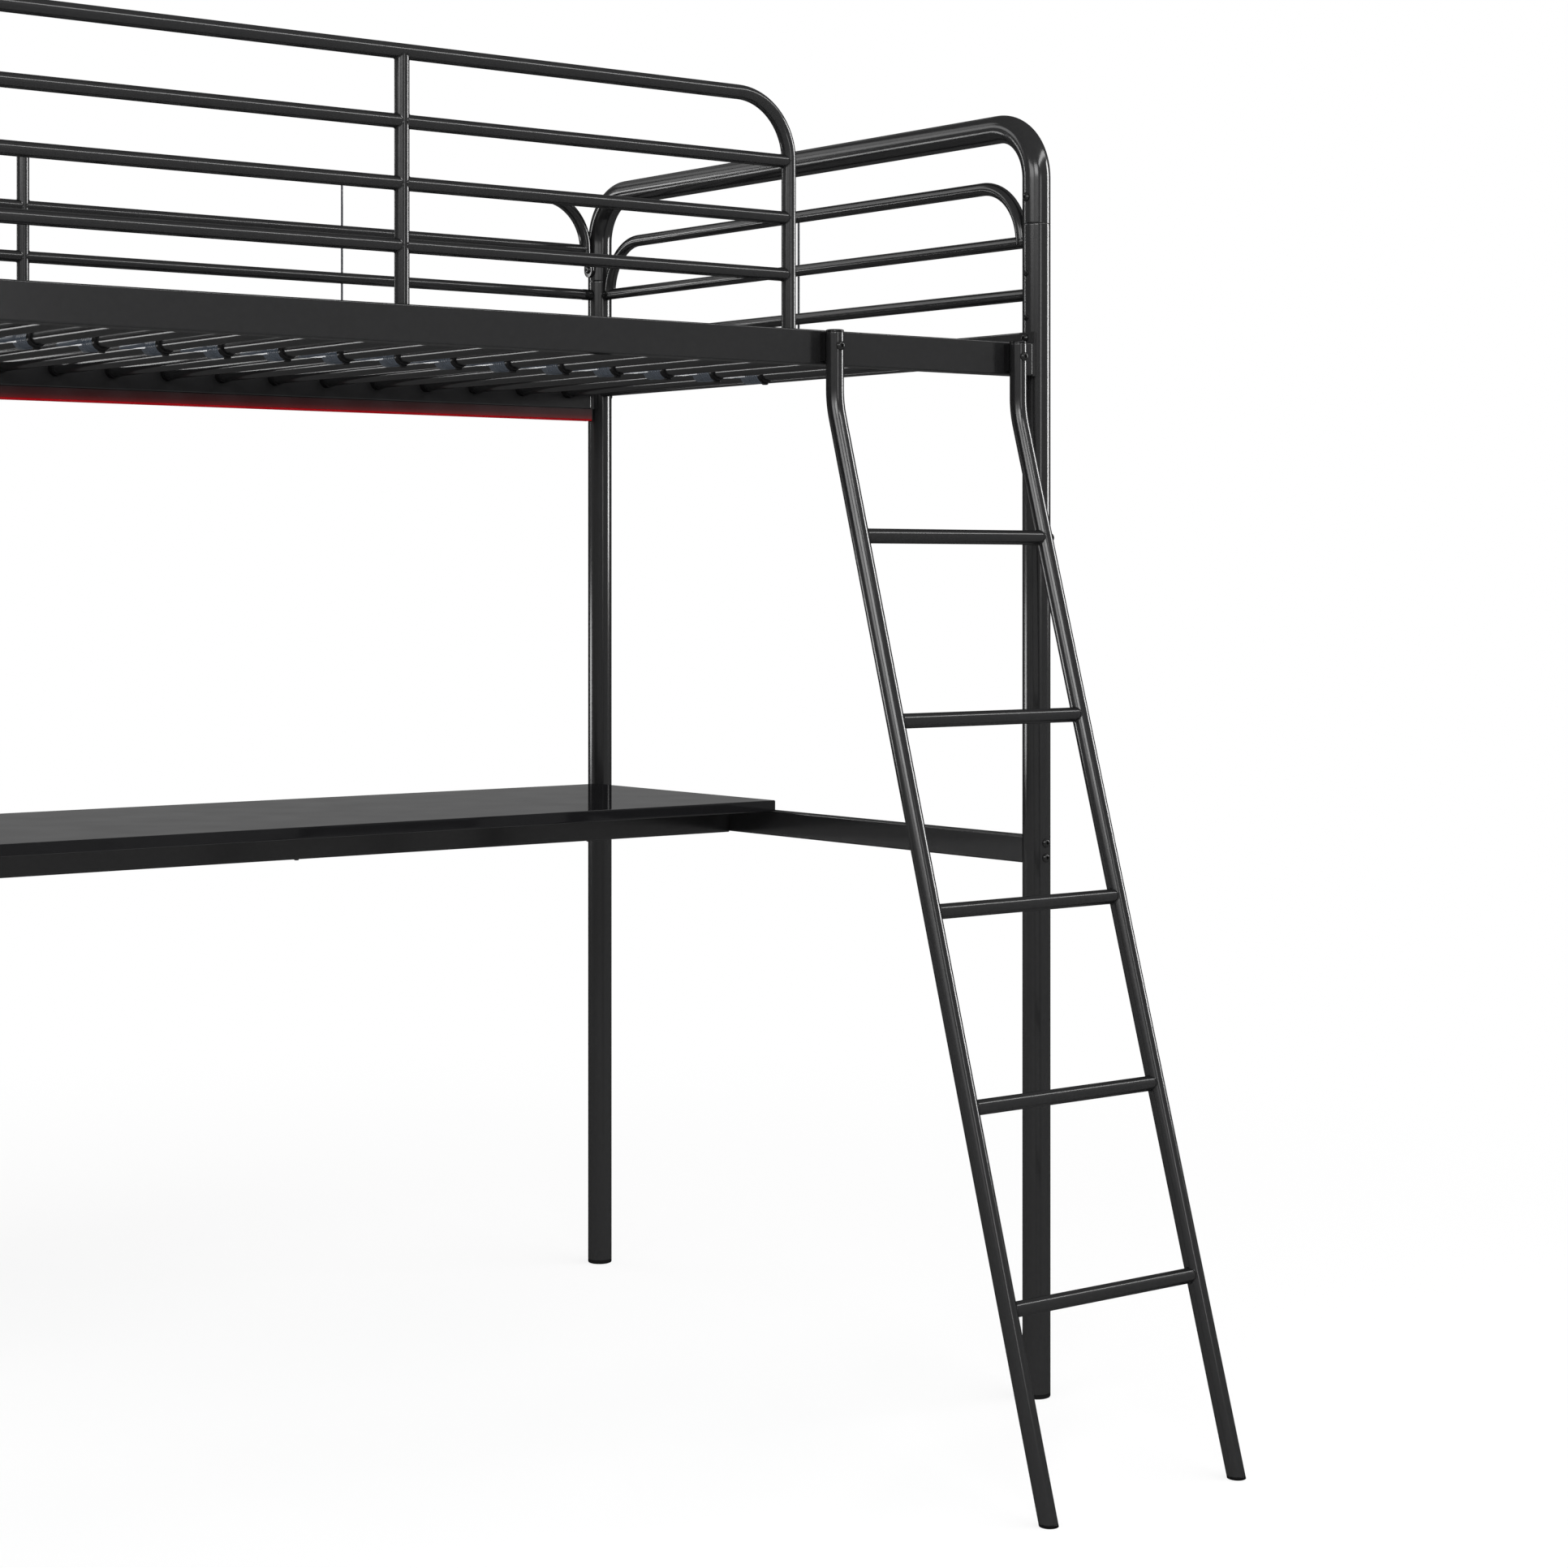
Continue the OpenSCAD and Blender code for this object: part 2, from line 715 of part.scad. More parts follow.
// Straight bars of a guard; each is two lengths, coped to the upright and the end legs
module guard_bars(sy, right_x, right_on_post) {
    color(STEEL) placed() translate([0, sy * half_y, 0])
        for (z = [bar_low_z, bar_mid_z, bar_high_z]) {
            on_leg = z == bar_high_z;
            left = on_leg ? guard_leg_x : post_in_x - ferrule_len;
            right = on_leg || !right_on_post ? right_x : post_in_x - ferrule_len;
            difference() {
                translate([0, 0, z]) tube_x(bar_d, bar_wall, -left, right);
                cylinder(d = guard_upright_d, h = guard_top_z);
                translate([-guard_leg_x, 0, bar_high_z - bar_d])
                    cylinder(d = guard_top_d, h = 2 * bar_d);
                translate([right_x, 0, right_on_post ? bar_high_z - bar_d : rail_top_z])
                    cylinder(d = guard_top_d, h = right_on_post ? 2 * bar_d : guard_top_z);
            }
        }
}

module front_guard_bars() guard_bars(FRONT, guard_end_x, false);
module back_guard_bars() guard_bars(BACK, guard_leg_x, true);

module back_guard_tie_rods() {
    color(CLIP) placed() for (sx = [LEFT, RIGHT]) translate([sx * guard_rod_x, half_y, 0]) {
        rod(rail_top_z, bar_low_z - bar_d / 2);
        rod(bar_low_z + bar_d / 2, bar_mid_z - bar_d / 2);
        rod(bar_mid_z + bar_d / 2, bar_high_z - bar_d / 2);
        rod(bar_high_z + bar_d / 2, guard_top_z - guard_top_d / 2);
    }
}

// Flattened foot of a guard's leg, drilled for the joint bolt
module guard_end_tabs() {
    color(STEEL) placed() for (c = GUARD_CORNERS) at_corner(c) difference() {
        union() {
            translate([-c[0] * (post_r + tab_t / 2), 0, tab_bolt_z]) {
                drill_x(2 * tab_half, tab_t);
                translate([-tab_t / 2, -tab_half, 0]) cube([tab_t, 2 * tab_half, tab_half]);
            }
            hull() {
                translate([-c[0] * (post_r + guard_top_d / 2), 0, tab_top_z + flat_len - 1])
                    cylinder(d = guard_top_d, h = 1, $fn = 32);
                translate([-c[0] * (post_r + tab_t / 2) - tab_t / 2, -tab_half, tab_top_z - 1])
                    cube([tab_t, 2 * tab_half, 1]);
            }
        }
        translate([-c[0] * post_r, 0, tab_bolt_z]) drill_x(bolt_hole_d, 4 * tab_t);
    }
}

module guard_bar_ferrules() {
    color(PLASTIC) placed() for (c = GUARD_CORNERS, z = [bar_low_z, bar_mid_z]) at_corner(c)
        difference() {
            translate([-c[0] * (post_r + ferrule_len / 2 - post_r / 4), 0, z])
                drill_x(ferrule_d, ferrule_len + post_r / 2);
            translate([0, 0, z - ferrule_d]) cylinder(d = post_d, h = 2 * ferrule_d);
        }
}

// ---- Ladder ----

// The bend is made a little too long and cut level where the upright part begins
// The bend is cut level at the joint, and the upright enters it a hair inside its wall
module ladder_rail(x) {
    lean_len = lean_start_z / cos(ladder_lean) + ladder_d;
    top_z = rail_top_z - ladder_cap_t;
    trim_angle = 2;
    entry = 0.5;
    hair = 0.04;
    color(STEEL) placed() difference() {
        translate([x, ladder_y, bend_top_z]) {
            translate([0, 0, -entry])
                tube(ladder_d - hair, ladder_wall - hair, top_z - bend_top_z + entry);
            difference() {
                translate([0, -ladder_bend_r, 0]) rotate([-ladder_lean, 0, 0]) {
                    rotate([90, 0, 90])
                        elbow(ladder_bend_r, ladder_lean + trim_angle, ladder_d, ladder_wall);
                    translate([0, ladder_bend_r, -lean_len]) tube(ladder_d, ladder_wall, lean_len);
                }
                translate([-ladder_d, -ladder_d, 0]) cube(2 * ladder_d);
            }
        }
        translate([x - ladder_d, lean_y(0) - 3 * ladder_d, ladder_cap_t - 4 * ladder_d])
            cube([2 * ladder_d, 6 * ladder_d, 4 * ladder_d]);
        translate([x, ladder_y, ladder_bolt_z]) drill_y(bolt_hole_d, 2 * ladder_d);
        if (x == ladder_rails_x[1])
            translate([x, lean_y(top_rung_z), top_rung_z]) drill_x(bolt_hole_d, 2 * ladder_d);
    }
}

module ladder_rail_left() ladder_rail(ladder_rails_x[0]);
module ladder_rail_right() ladder_rail(ladder_rails_x[1]);

module ladder_rungs() {
    color(STEEL) placed() for (i = [0 : rung_count - 1])
        translate([0, lean_y(rung_z(i)), rung_z(i)]) difference() {
            tube_x(rung_d, bar_wall, ladder_rails_x[0], ladder_rails_x[1]);
            for (x = ladder_rails_x) translate([x, 0, 0]) rotate([-ladder_lean, 0, 0])
                cylinder(d = ladder_d, h = 3 * ladder_d, center = true);
        }
}

// Foot caps: the leaning outline, cut level above and below, with a plug inside the rail
module ladder_foot_caps() {
    span = 3 * ladder_d;
    plug_d = ladder_d - 2 * ladder_wall - 2 * fit;
    plug_rise = 22;
    color(PLASTIC) placed() for (x = ladder_rails_x) intersection() {
        translate([x - span / 2, lean_y(0) - span, 0]) cube([span, 2 * span, plug_rise]);
        union() {
            intersection() {
                translate([x, lean_y(0), 0]) rotate([-ladder_lean, 0, 0])
                    cylinder(d = ladder_d, h = span, center = true);
                translate([x - span / 2, lean_y(0) - span, -span])
                    cube([span, 2 * span, span + ladder_cap_t]);
            }
            translate([x, lean_y(0), 0]) rotate([-ladder_lean, 0, 0])
                cylinder(d = plug_d, h = span, center = true);
        }
    }
}

module ladder_top_caps() {
    plug_d = ladder_d - 2 * ladder_wall - 2 * fit;
    plug_drop = 10;
    color(PLASTIC) placed() for (x = ladder_rails_x) translate([x, ladder_y, 0]) {
        translate([0, 0, rail_top_z - ladder_cap_t]) cylinder(d = ladder_d, h = ladder_cap_t);
        translate([0, 0, rail_top_z - ladder_cap_t - plug_drop + 2])
            cylinder(d = plug_d, h = plug_drop - 2);
    }
}

// Spacer between ladder and side rail, hollowed to hug the ladder tube
module ladder_spacers() {
    depth = ladder_gap + spacer_wrap;
    color(PLASTIC) placed() for (x = ladder_rails_x) difference() {
        translate([x - ladder_r, -rail_out_y - depth, rail_mid_z - spacer_h / 2])
            cube([ladder_d, depth, spacer_h]);
        translate([x, ladder_y, rail_low_z]) cylinder(d = ladder_d, h = rail_h);
        translate([x, ladder_y, ladder_bolt_z]) drill_y(bolt_hole_d, 4 * ladder_d);
    }
}

// Bolts through the ladder rails into the side rail, with their nuts, and those of the top rung
module ladder_bolts() {
    grip = ladder_d + ladder_gap + rail_wall;
    color(BOLT) placed() {
        for (x = ladder_rails_x) translate([x, ladder_y - ladder_r, ladder_bolt_z])
            bolt_y(FRONT, grip + nut_t + 2);
        for (x = ladder_rails_x) translate([x, -rail_out_y + rail_wall, ladder_bolt_z])
            along_y() nut(nut_t);
        translate([ladder_rails_x[1] + ladder_r, lean_y(top_rung_z), top_rung_z])
            bolt_x(RIGHT, ladder_d + bolt_reach);
    }
}

module rung_insert() {
    insert_len = 18;
    x = ladder_rails_x[1] - ladder_r - insert_len / 2 - 2;
    color(BOLT) placed() translate([x, lean_y(top_rung_z), top_rung_z]) difference() {
        drill_x(rung_d - 2 * bar_wall - fit, insert_len);
        drill_x(bolt_hole_d, insert_len + 2);
    }
}

// ---- Desk ----

function screw_x(i) = (i - (screw_count - 1) / 2) * (2 * desk_half_x / screw_count);

module desk_top() {
    mid_y = (desk_front_y + desk_back_y) / 2;
    color(BOARD) placed() difference() {
        translate([0, mid_y, desk_low_z]) linear_extrude(height = desk_t)
            round_rect(2 * desk_half_x, desk_depth, 2);
        for (i = [0 : screw_count - 1], y = [beam_front_y, beam_back_y])
            translate([screw_x(i), y + beam_w / 2, desk_low_z - 1])
                cylinder(d = screw_d + fit, h = screw_bite + 2);
    }
}

module desk_beam(y) {
    color(STEEL) placed() difference() {
        translate([0, y + beam_w / 2, beam_low_z + beam_h / 2])
            box_x(beam_w, beam_h, -beam_half_x, beam_half_x);
        for (i = [0 : screw_count - 1])
            translate([screw_x(i), y + beam_w / 2, beam_low_z - 1])
                cylinder(d = screw_d + fit, h = beam_h + 2);
    }
}

module desk_beam_front() desk_beam(beam_front_y);
module desk_beam_back() desk_beam(beam_back_y);

module desk_end_rail(sx) {
    color(STEEL) placed() difference() {
        cope_posts(sx) translate([sx * half_x, 0, desk_end_mid_z])
            box_y(beam_w, desk_end_h, -half_y + post_r / 2, half_y - post_r / 2);
        for (y = [beam_front_y, beam_back_y])
            translate([sx * half_x, y + beam_w / 2, desk_end_mid_z])
                drill_x(bolt_hole_d, 2 * beam_w);
    }
}

module desk_end_rail_left() desk_end_rail(LEFT);
module desk_end_rail_right() desk_end_rail(RIGHT);

// Threaded plugs inside the ends of the desk end rails and of the desk beams
module desk_rail_plugs() {
    rail_in = [beam_w - 2 * rail_wall - 2 * fit, desk_end_h - 2 * rail_wall - 2 * fit];
    beam_in = [beam_w - 2 * rail_wall - 2 * fit, beam_h - 2 * rail_wall - 2 * fit];
    corner = rail_corner_r - rail_wall;
    color(PLASTIC) placed() {
        for (c = CORNERS) difference() {
            translate([c[0] * half_x, c[1] * (post_in_y - 2 - plug_len / 2) + plug_len / 2,
                desk_end_mid_z]) rotate([90, 0, 0])
                linear_extrude(height = plug_len) round_rect(rail_in[0], rail_in[1], corner);
            for (z = desk_bolt_z) translate([c[0] * half_x, c[1] * half_y, z])
                drill_y(bolt_hole_d, 4 * post_d);
        }
        for (sx = [LEFT, RIGHT], y = [beam_front_y, beam_back_y])
            translate([sx * (beam_half_x - plug_len / 2), y + beam_w / 2, desk_end_mid_z])
                difference() {
                    translate([-plug_len / 2, 0, 0]) rotate([90, 0, 90])
                        linear_extrude(height = plug_len) round_rect(beam_in[0], beam_in[1], corner);
                    drill_x(bolt_hole_d, 2 * plug_len);
                }
    }
}

module desk_post_bolts() {
    shank = post_d + 2 + plug_len - 4;
    color(BOLT) placed() for (c = CORNERS, z = desk_bolt_z) at_corner(c)
        translate([0, c[1] * post_r, z]) bolt_y(c[1], shank);
}

module desk_beam_bolts() {
    color(BOLT) placed() for (sx = [LEFT, RIGHT], y = [beam_front_y, beam_back_y])
        translate([sx * (half_x + beam_w / 2), y + beam_w / 2, desk_end_mid_z])
            bolt_x(sx, beam_w + plug_len - 4);
}

// Screw with its head down at z = 0 and the shank up
module screw_up(len) {
    head_h = 2;
    translate([0, 0, -head_h]) cylinder(d1 = screw_d * 1.4, d2 = screw_d * 1.9, h = head_h);
    cylinder(d = screw_d, h = len);
}

module desk_screws() {
    color(BOLT) placed() for (i = [0 : screw_count - 1], y = [beam_front_y, beam_back_y])
        translate([screw_x(i), y + beam_w / 2, beam_low_z]) screw_up(beam_h + screw_bite);
}

// ---- Light bar ----

function light_mid_y() = rail_in_y + light_w / 2;
function light_screw_x(i) = (i - (light_screw_count - 1) / 2)
    * (2 * light_half_x / light_screw_count);

module light_channel() {
    body_h = light_h - light_strip_h;
    len = 2 * (light_half_x - light_cap_t);
    color(STEEL) placed() difference() {
        translate([-len / 2, rail_in_y, light_low_z + light_strip_h]) cube([len, light_w, body_h]);
        translate([-len / 2 - 1, rail_in_y + light_wall, light_low_z])
            cube([len + 2, light_w - 2 * light_wall, light_h - light_wall]);
        for (i = [0 : light_screw_count - 1])
            translate([light_screw_x(i), light_mid_y(), rail_low_z])
                cylinder(d = screw_d + fit, h = 4 * light_wall, center = true);
    }
}

// Diffuser: a strip over the channel's lips with a raised rib between its walls
module light_diffuser() {
    len = 2 * (light_half_x - light_cap_t);
    rib_h = 3;
    rib_w = light_w - 2 * light_wall - 2 * fit;
    color(GLOW) placed() translate([-len / 2, 0, light_low_z]) {
        translate([0, rail_in_y, 0]) cube([len, light_w, light_strip_h]);
        translate([0, light_mid_y() - rib_w / 2, light_strip_h]) cube([len, rib_w, rib_h]);
    }
}

module light_end_caps() {
    color(PLASTIC) placed() for (sx = [LEFT, RIGHT])
        translate([sx * (light_half_x - light_cap_t / 2), light_mid_y(), light_low_z + light_h / 2])
            cube([light_cap_t, light_w, light_h], center = true);
}

module light_screws() {
    color(BOLT) placed() for (i = [0 : light_screw_count - 1])
        translate([light_screw_x(i), light_mid_y(), rail_low_z - light_wall])
            screw_up(light_wall + rail_wall + 4);
}

// ---- Assembly ----

post_front_left();
post_front_right();
post_back_left();
post_back_right();
post_foot_caps();
end_arch_left();
end_arch_right();
joint_sleeves();
end_bow_left();
end_bow_right();
end_bars_left();
end_bars_right();
end_tie_rods();
cross_rail_left();
cross_rail_right();
side_rail_front();
side_rail_back();
rail_saddles();
slat_tubes_front();
slat_tubes_back();
slat_clips();
slat_collars();
slat_end_caps();
front_guard_top();
front_guard_upright();
front_guard_bars();
back_guard_top();
back_guard_upright();
back_guard_bars();
back_guard_tie_rods();
guard_end_tabs();
guard_bar_ferrules();
ladder_rail_left();
ladder_rail_right();
ladder_rungs();
ladder_foot_caps();
ladder_top_caps();
ladder_spacers();
rung_insert();
desk_top();
desk_beam_front();
desk_beam_back();
desk_end_rail_left();
desk_end_rail_right();
desk_rail_plugs();
light_channel();
light_diffuser();
light_end_caps();
light_screws();
desk_screws();
desk_beam_bolts();
desk_post_bolts();
rail_bolts();
rail_nuts();
bracket_bolts();
joint_bolts();
ladder_bolts();
post_plugs();
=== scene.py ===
"""Loft bed with a desk under it, a leaning ladder and a light bar: the finished surfaces, built
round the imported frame. All lengths are metres; X runs along the bed, Y across it, Z up."""

import math

import bmesh
import bpy
import numpy as np
from mathutils import Matrix, Vector


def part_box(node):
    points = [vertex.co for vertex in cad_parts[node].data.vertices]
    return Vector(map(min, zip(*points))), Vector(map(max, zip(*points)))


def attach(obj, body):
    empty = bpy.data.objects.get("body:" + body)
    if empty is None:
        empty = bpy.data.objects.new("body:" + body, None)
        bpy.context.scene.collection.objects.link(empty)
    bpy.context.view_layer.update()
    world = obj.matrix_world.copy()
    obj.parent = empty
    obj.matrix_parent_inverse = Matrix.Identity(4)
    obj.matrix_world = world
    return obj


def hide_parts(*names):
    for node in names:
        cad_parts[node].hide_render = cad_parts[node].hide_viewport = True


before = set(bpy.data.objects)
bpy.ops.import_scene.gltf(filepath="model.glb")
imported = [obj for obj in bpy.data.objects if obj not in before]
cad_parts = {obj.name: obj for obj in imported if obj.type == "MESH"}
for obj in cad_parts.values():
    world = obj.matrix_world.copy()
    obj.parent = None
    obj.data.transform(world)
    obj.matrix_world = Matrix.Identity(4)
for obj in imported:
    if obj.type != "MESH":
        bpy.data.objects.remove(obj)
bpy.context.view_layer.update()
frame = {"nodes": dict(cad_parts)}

bl_info = {
    "name": "Loft bed with desk",
    "version": (1, 0, 0),
    "blender": (4, 5, 0),
    "location": "3D View > Sidebar > Loft bed",
    "description": "Builds the finished surfaces of a loft bed with a desk round its frame",
    "category": "Object",
}

BODY = "root"
X, Y, Z = np.eye(3)
SIDES = {"left": -1, "right": 1}
ROWS = {"front": -1, "back": 1}


# ---- Reading the frame ----


def extent(node):
    """Lowest and highest corner of a frame node, as arrays."""
    low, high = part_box(node)
    return np.array(low), np.array(high)


def middle(node):
    """Middle of a frame node's box."""
    low, high = extent(node)
    return (low + high) / 2


def half_size(node, axis):
    """Half of a frame node's box along one axis, which is the radius of a tube across it."""
    low, high = extent(node)
    return float(high[axis] - low[axis]) / 2


def post_centre(side, row):
    """Centre of one post on the floor."""
    return middle(f"post_{row}_{side}") * (1, 1, 0)


CORNERS = [(side, row) for side in SIDES for row in ROWS]
# A guard ends on the post at every corner but that of the ladder.
GUARD_ENDS = [corner for corner in CORNERS if corner != ("right", "front")]
POST_R = half_size("post_front_right", 0)
IN_POST = 0.8 * POST_R  # from a post's middle to the hidden ends of bars and cross rails in it
THICK_EDGE = 0.0007  # rounding at the ends of the posts, the arches and the bows
FIT = 0.0001  # space between a tube and the plastic round it
TAB_T = 0.004  # thickness of the guards' flat end tabs
RUNG_R = 0.0095


def on_post(side, row, way, heights):
    """Points on the face of a post that looks one way, at some heights."""
    face = post_centre(side, row) + way * POST_R
    return [face + Z * z for z in heights]


# ---- Surfaces ----


class Shape:
    """Grids of points that are joined into one closed mesh."""

    def __init__(self):
        self.points, self.quads, self.caps, self.count = [], [], [], 0

    def add(self, grid, wrap_rows=False, at=((0.0, 0.0, 0.0),)):
        """Adds a grid of rings (rows, points round a ring, 3), once at each place in at. Its ends
        are closed by one flat face each, unless the rows run round to the first again."""
        rows, around = grid.shape[:2]
        row = np.arange(rows if wrap_rows else rows - 1)[:, None] * around
        after = (row + around) % (rows * around)
        here = np.arange(around)[None]
        beside = (here + 1) % around
        quads = np.stack([row + here, row + beside, after + beside, after + here], -1)
        for place in np.atleast_2d(at):
            self.points.append(grid.reshape(-1, 3) + place)
            self.quads.append(quads.reshape(-1, 4) + self.count)
            if not wrap_rows:
                first = self.count + np.arange(around)
                self.caps += [first[::-1].tolist(), (first + (rows - 1) * around).tolist()]
            self.count += rows * around

    def mesh(self, name, sharp):
        """The joined mesh, smooth across every edge that bends less than sharp."""
        mesh = bpy.data.meshes.new(name)
        faces = np.vstack(self.quads).tolist() + self.caps
        mesh.from_pydata(np.vstack(self.points).tolist(), [], faces)
        work = bmesh.new()
        work.from_mesh(mesh)
        bmesh.ops.recalc_face_normals(work, faces=work.faces)
        work.to_mesh(mesh)
        work.free()
        mesh.shade_smooth()
        mesh.set_sharp_from_angle(angle=sharp)
        return mesh


def make_piece(name, shape, finish, nodes, sharp=math.radians(35)):
    """Puts a shape in the scene as a finished piece that stands for the named frame nodes."""
    piece = bpy.data.objects.new(name, shape.mesh(name, sharp))
    bpy.context.scene.collection.objects.link(piece)
    piece.data.materials.append(material_of(finish))
    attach(piece, BODY)
    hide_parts(*nodes)


def round_section(steps=40):
    """Circle: point = (corner centre 0, 0) + radius (cos t, sin t)."""
    t = np.arange(steps) / steps * 2 * math.pi
    return np.zeros((steps, 2)), np.stack([np.cos(t), np.sin(t)], 1)


def box_section(width, height, corner, steps=5, margin=0.0004):
    """Rectangle with round corners: point = corner centre + radius (cos t, sin t), where the
    centres lie at (+-(width / 2 - corner), +-(height / 2 - corner)) by t's quadrant. One more
    point a margin before and after each arc keeps the flat sides' shading flat."""
    quarter = np.pad(np.linspace(0, math.pi / 2, steps), 1, "edge")
    t = (quarter[None] + np.arange(4)[:, None] * math.pi / 2).reshape(-1)
    turn = np.repeat(np.arange(4), steps + 2) * math.pi / 2 + math.pi / 4
    reach = np.array([width, height]) / 2 - corner
    centres = reach * np.sign(np.stack([np.cos(turn), np.sin(turn)], 1))
    slide = np.zeros(steps + 2)
    slide[0], slide[-1] = -margin, margin
    centres += np.tile(slide, 4)[:, None] * np.stack([-np.sin(t), np.cos(t)], 1)
    return centres, np.stack([np.cos(t), np.sin(t)], 1)


def unit(way):
    """A direction at length 1."""
    return way / np.linalg.norm(way)


def line(start, end):
    """Straight path: its two ends, and its direction at both."""
    points = np.array([start, end], float)
    return points, np.repeat([unit(points[1] - points[0])], 2, 0)


def box_line(node, axis, start=None, end=None):
    """Straight path along an axis through the middle of a frame node's box, from one side of the
    box to the other unless start or end says where."""
    low, high = extent(node)
    ends = np.tile(middle(node), (2, 1))
    ends[:, axis] = (low[axis] if start is None else start, high[axis] if end is None else end)
    return line(*ends)


def bent_path(corners, radius, steps, margin=0.004):
    """Straight runs joined by arcs. At an inner corner P with unit vectors u and v to its
    neighbours and the angle a between them, the arc has its centre at
    P + (u + v) / |u + v| radius / sin(a / 2) and touches the runs radius / tan(a / 2) from P. One
    more point a margin before and after each arc keeps the straight runs' shading straight."""
    corners = np.array(corners, float)
    points, ways = [corners[:1]], [unit(corners[1] - corners[0])[None]]
    for before, corner, after in zip(corners, corners[1:], corners[2:]):
        u, v = unit(before - corner), unit(after - corner)
        half = math.acos(float(u @ v)) / 2
        inward, along = unit(u + v), unit(v - u)
        centre = corner + inward * radius / math.sin(half)
        turn = np.linspace(half - math.pi / 2, math.pi / 2 - half, steps)[:, None]
        arc = centre - inward * radius * np.cos(turn) + along * radius * np.sin(turn)
        points += [arc[:1] + u * margin, arc, arc[-1:] + v * margin]
        ways += [-u[None], inward * np.sin(turn) + along * np.cos(turn), v[None]]
    points.append(corners[-1:])
    ways.append(unit(corners[-1] - corners[-2])[None])
    return np.vstack(points), np.vstack(ways)


# Rings of a rounded end, as shares of the edge radius along and across. The first and the last
# are support rings on the flat end and on the straight run; a hollow end has no first one.
ROUNDING = np.array([[0.0, 2.0], [0.0, 1.0], [0.293, 0.293], [1.0, 0.0], [3.0, 0.0]])


def carried(path, across, section, radius, wall=0.0, edge=0.0006, level=0):
    """A section carried along a path in a plane: point (i, j) = path i + a side i + b across, with
    side = across x direction and (a, b) = corner centre j + (radius - inset i) way j. The inset is
    a quarter circle of the radius edge at both ends. With a wall, the rings turn in at the ends
    and come back along the inside. The first rings, as many as level says, slide along the path
    until each lies flat."""
    points, ways = path
    centres, turns = section
    along, inset = (ROUNDING[1:] if wall else ROUNDING).T * edge
    inset = np.minimum(inset, 0.95 * radius)
    count = len(along)
    start = points[0] + ways[0] * along[:, None]
    end = points[-1] - ways[-1] * along[::-1, None]
    rings = np.vstack([start, points[1:-1], end])
    towards = np.vstack([np.repeat(ways[:1], count, 0), ways[1:-1], np.repeat(ways[-1:], count, 0)])
    size = np.full(len(rings), radius)
    size[:count] -= inset
    size[-count:] -= inset[::-1]
    if wall:
        rings = np.vstack([rings, points[::-1]])
        towards = np.vstack([towards, ways[::-1]])
        size = np.append(size, np.full(len(points), radius - wall))
    side = np.cross(across, towards)
    flat = centres[None] + turns[None] * size[:, None, None]
    grid = rings[:, None] + flat[..., :1] * side[:, None] + flat[..., 1:] * np.array(across)
    if level:
        for i in [*range(level), -1]:
            lift = (rings[i][2] - grid[i][:, 2]) / towards[i][2]
            grid[i] += lift[:, None] * towards[i]
    return grid


def add_bar(shape, path, across, section, radius, wall=0.0, at=((0, 0, 0),), **more):
    """Adds a carried section, hollow where it has a wall."""
    shape.add(carried(path, across, section, radius, wall, **more), wrap_rows=bool(wall), at=at)


def turned(profile, axis, around=40, hexed=None):
    """Surface of revolution: point (i, j) = s_i axis + r_i k_ij (cos t_j, sin t_j) across it. k is
    1 on a round ring; on a hexagonal one it is cos 30 / cos((t mod 60) - 30), in degrees."""
    profile = np.array(profile, float)
    axis = np.array(axis, float)
    u = np.cross(axis, X if abs(axis[0]) < 0.9 else Y)
    u /= np.linalg.norm(u)
    v = np.cross(axis, u)
    t = np.arange(around) / around * 2 * math.pi
    sixth = math.pi / 3
    facet = math.cos(sixth / 2) / np.cos(t % sixth - sixth / 2)
    share = np.zeros(len(profile)) if hexed is None else np.array(hexed, float)
    radius = profile[:, 1:2] * (1 + share[:, None] * (facet[None] - 1))
    ring = np.cos(t)[:, None] * u + np.sin(t)[:, None] * v
    return profile[:, :1, None] * axis + radius[..., None] * ring[None]


def add_weld(shape, centre, out, up, bar_r, tube_r):
    """Adds the bead where a bar of radius r meets a tube of radius R square on: its centre line is
    centre + out sqrt(R^2 - (r cos t)^2) + r (side cos t + up sin t), thickened by a bead that
    swells and shrinks in ripples round the bar."""
    around, steps, ripples, swell = 28, 6, 11, 0.12
    side = np.cross(out, up)
    t = (np.arange(around) / around * 2 * math.pi)[:, None]
    radial = side * np.cos(t) + up * np.sin(t)
    reach = np.sqrt(np.maximum(tube_r**2 - (bar_r * np.cos(t)) ** 2, 0))
    middle_line = np.array(centre) + out * reach + radial * bar_r
    p = np.arange(steps) / steps * 2 * math.pi
    size = sizes().weld * (1 + swell * np.sin(ripples * t))
    bend = np.cos(p)[None, :, None] * radial[:, None] + np.sin(p)[None, :, None] * out
    shape.add(middle_line[:, None] + bend * size[:, None], wrap_rows=True)


def rim(outer, edge, share=0.3):
    """Start of a turned profile: a flat end, then a rounded edge up to the outer radius. The
    edge's middle point lies in from both by a share of edge."""
    inset = share * edge
    return [[0, outer - edge], [inset, outer - inset], [edge, outer]]


def prism(outline, axis, low, high):
    """Closed outline in the two other coordinates, carried along an axis from low to high."""
    return np.stack([np.insert(np.array(outline, float), axis, place, 1) for place in (low, high)])


def tube_piece(node, *args, **more):
    """Makes one carried section of the frame's steel that stands for a frame node."""
    shape = Shape()
    add_bar(shape, *args, **more)
    make_piece(f"{node}_tube", shape, "frame_steel", [node])


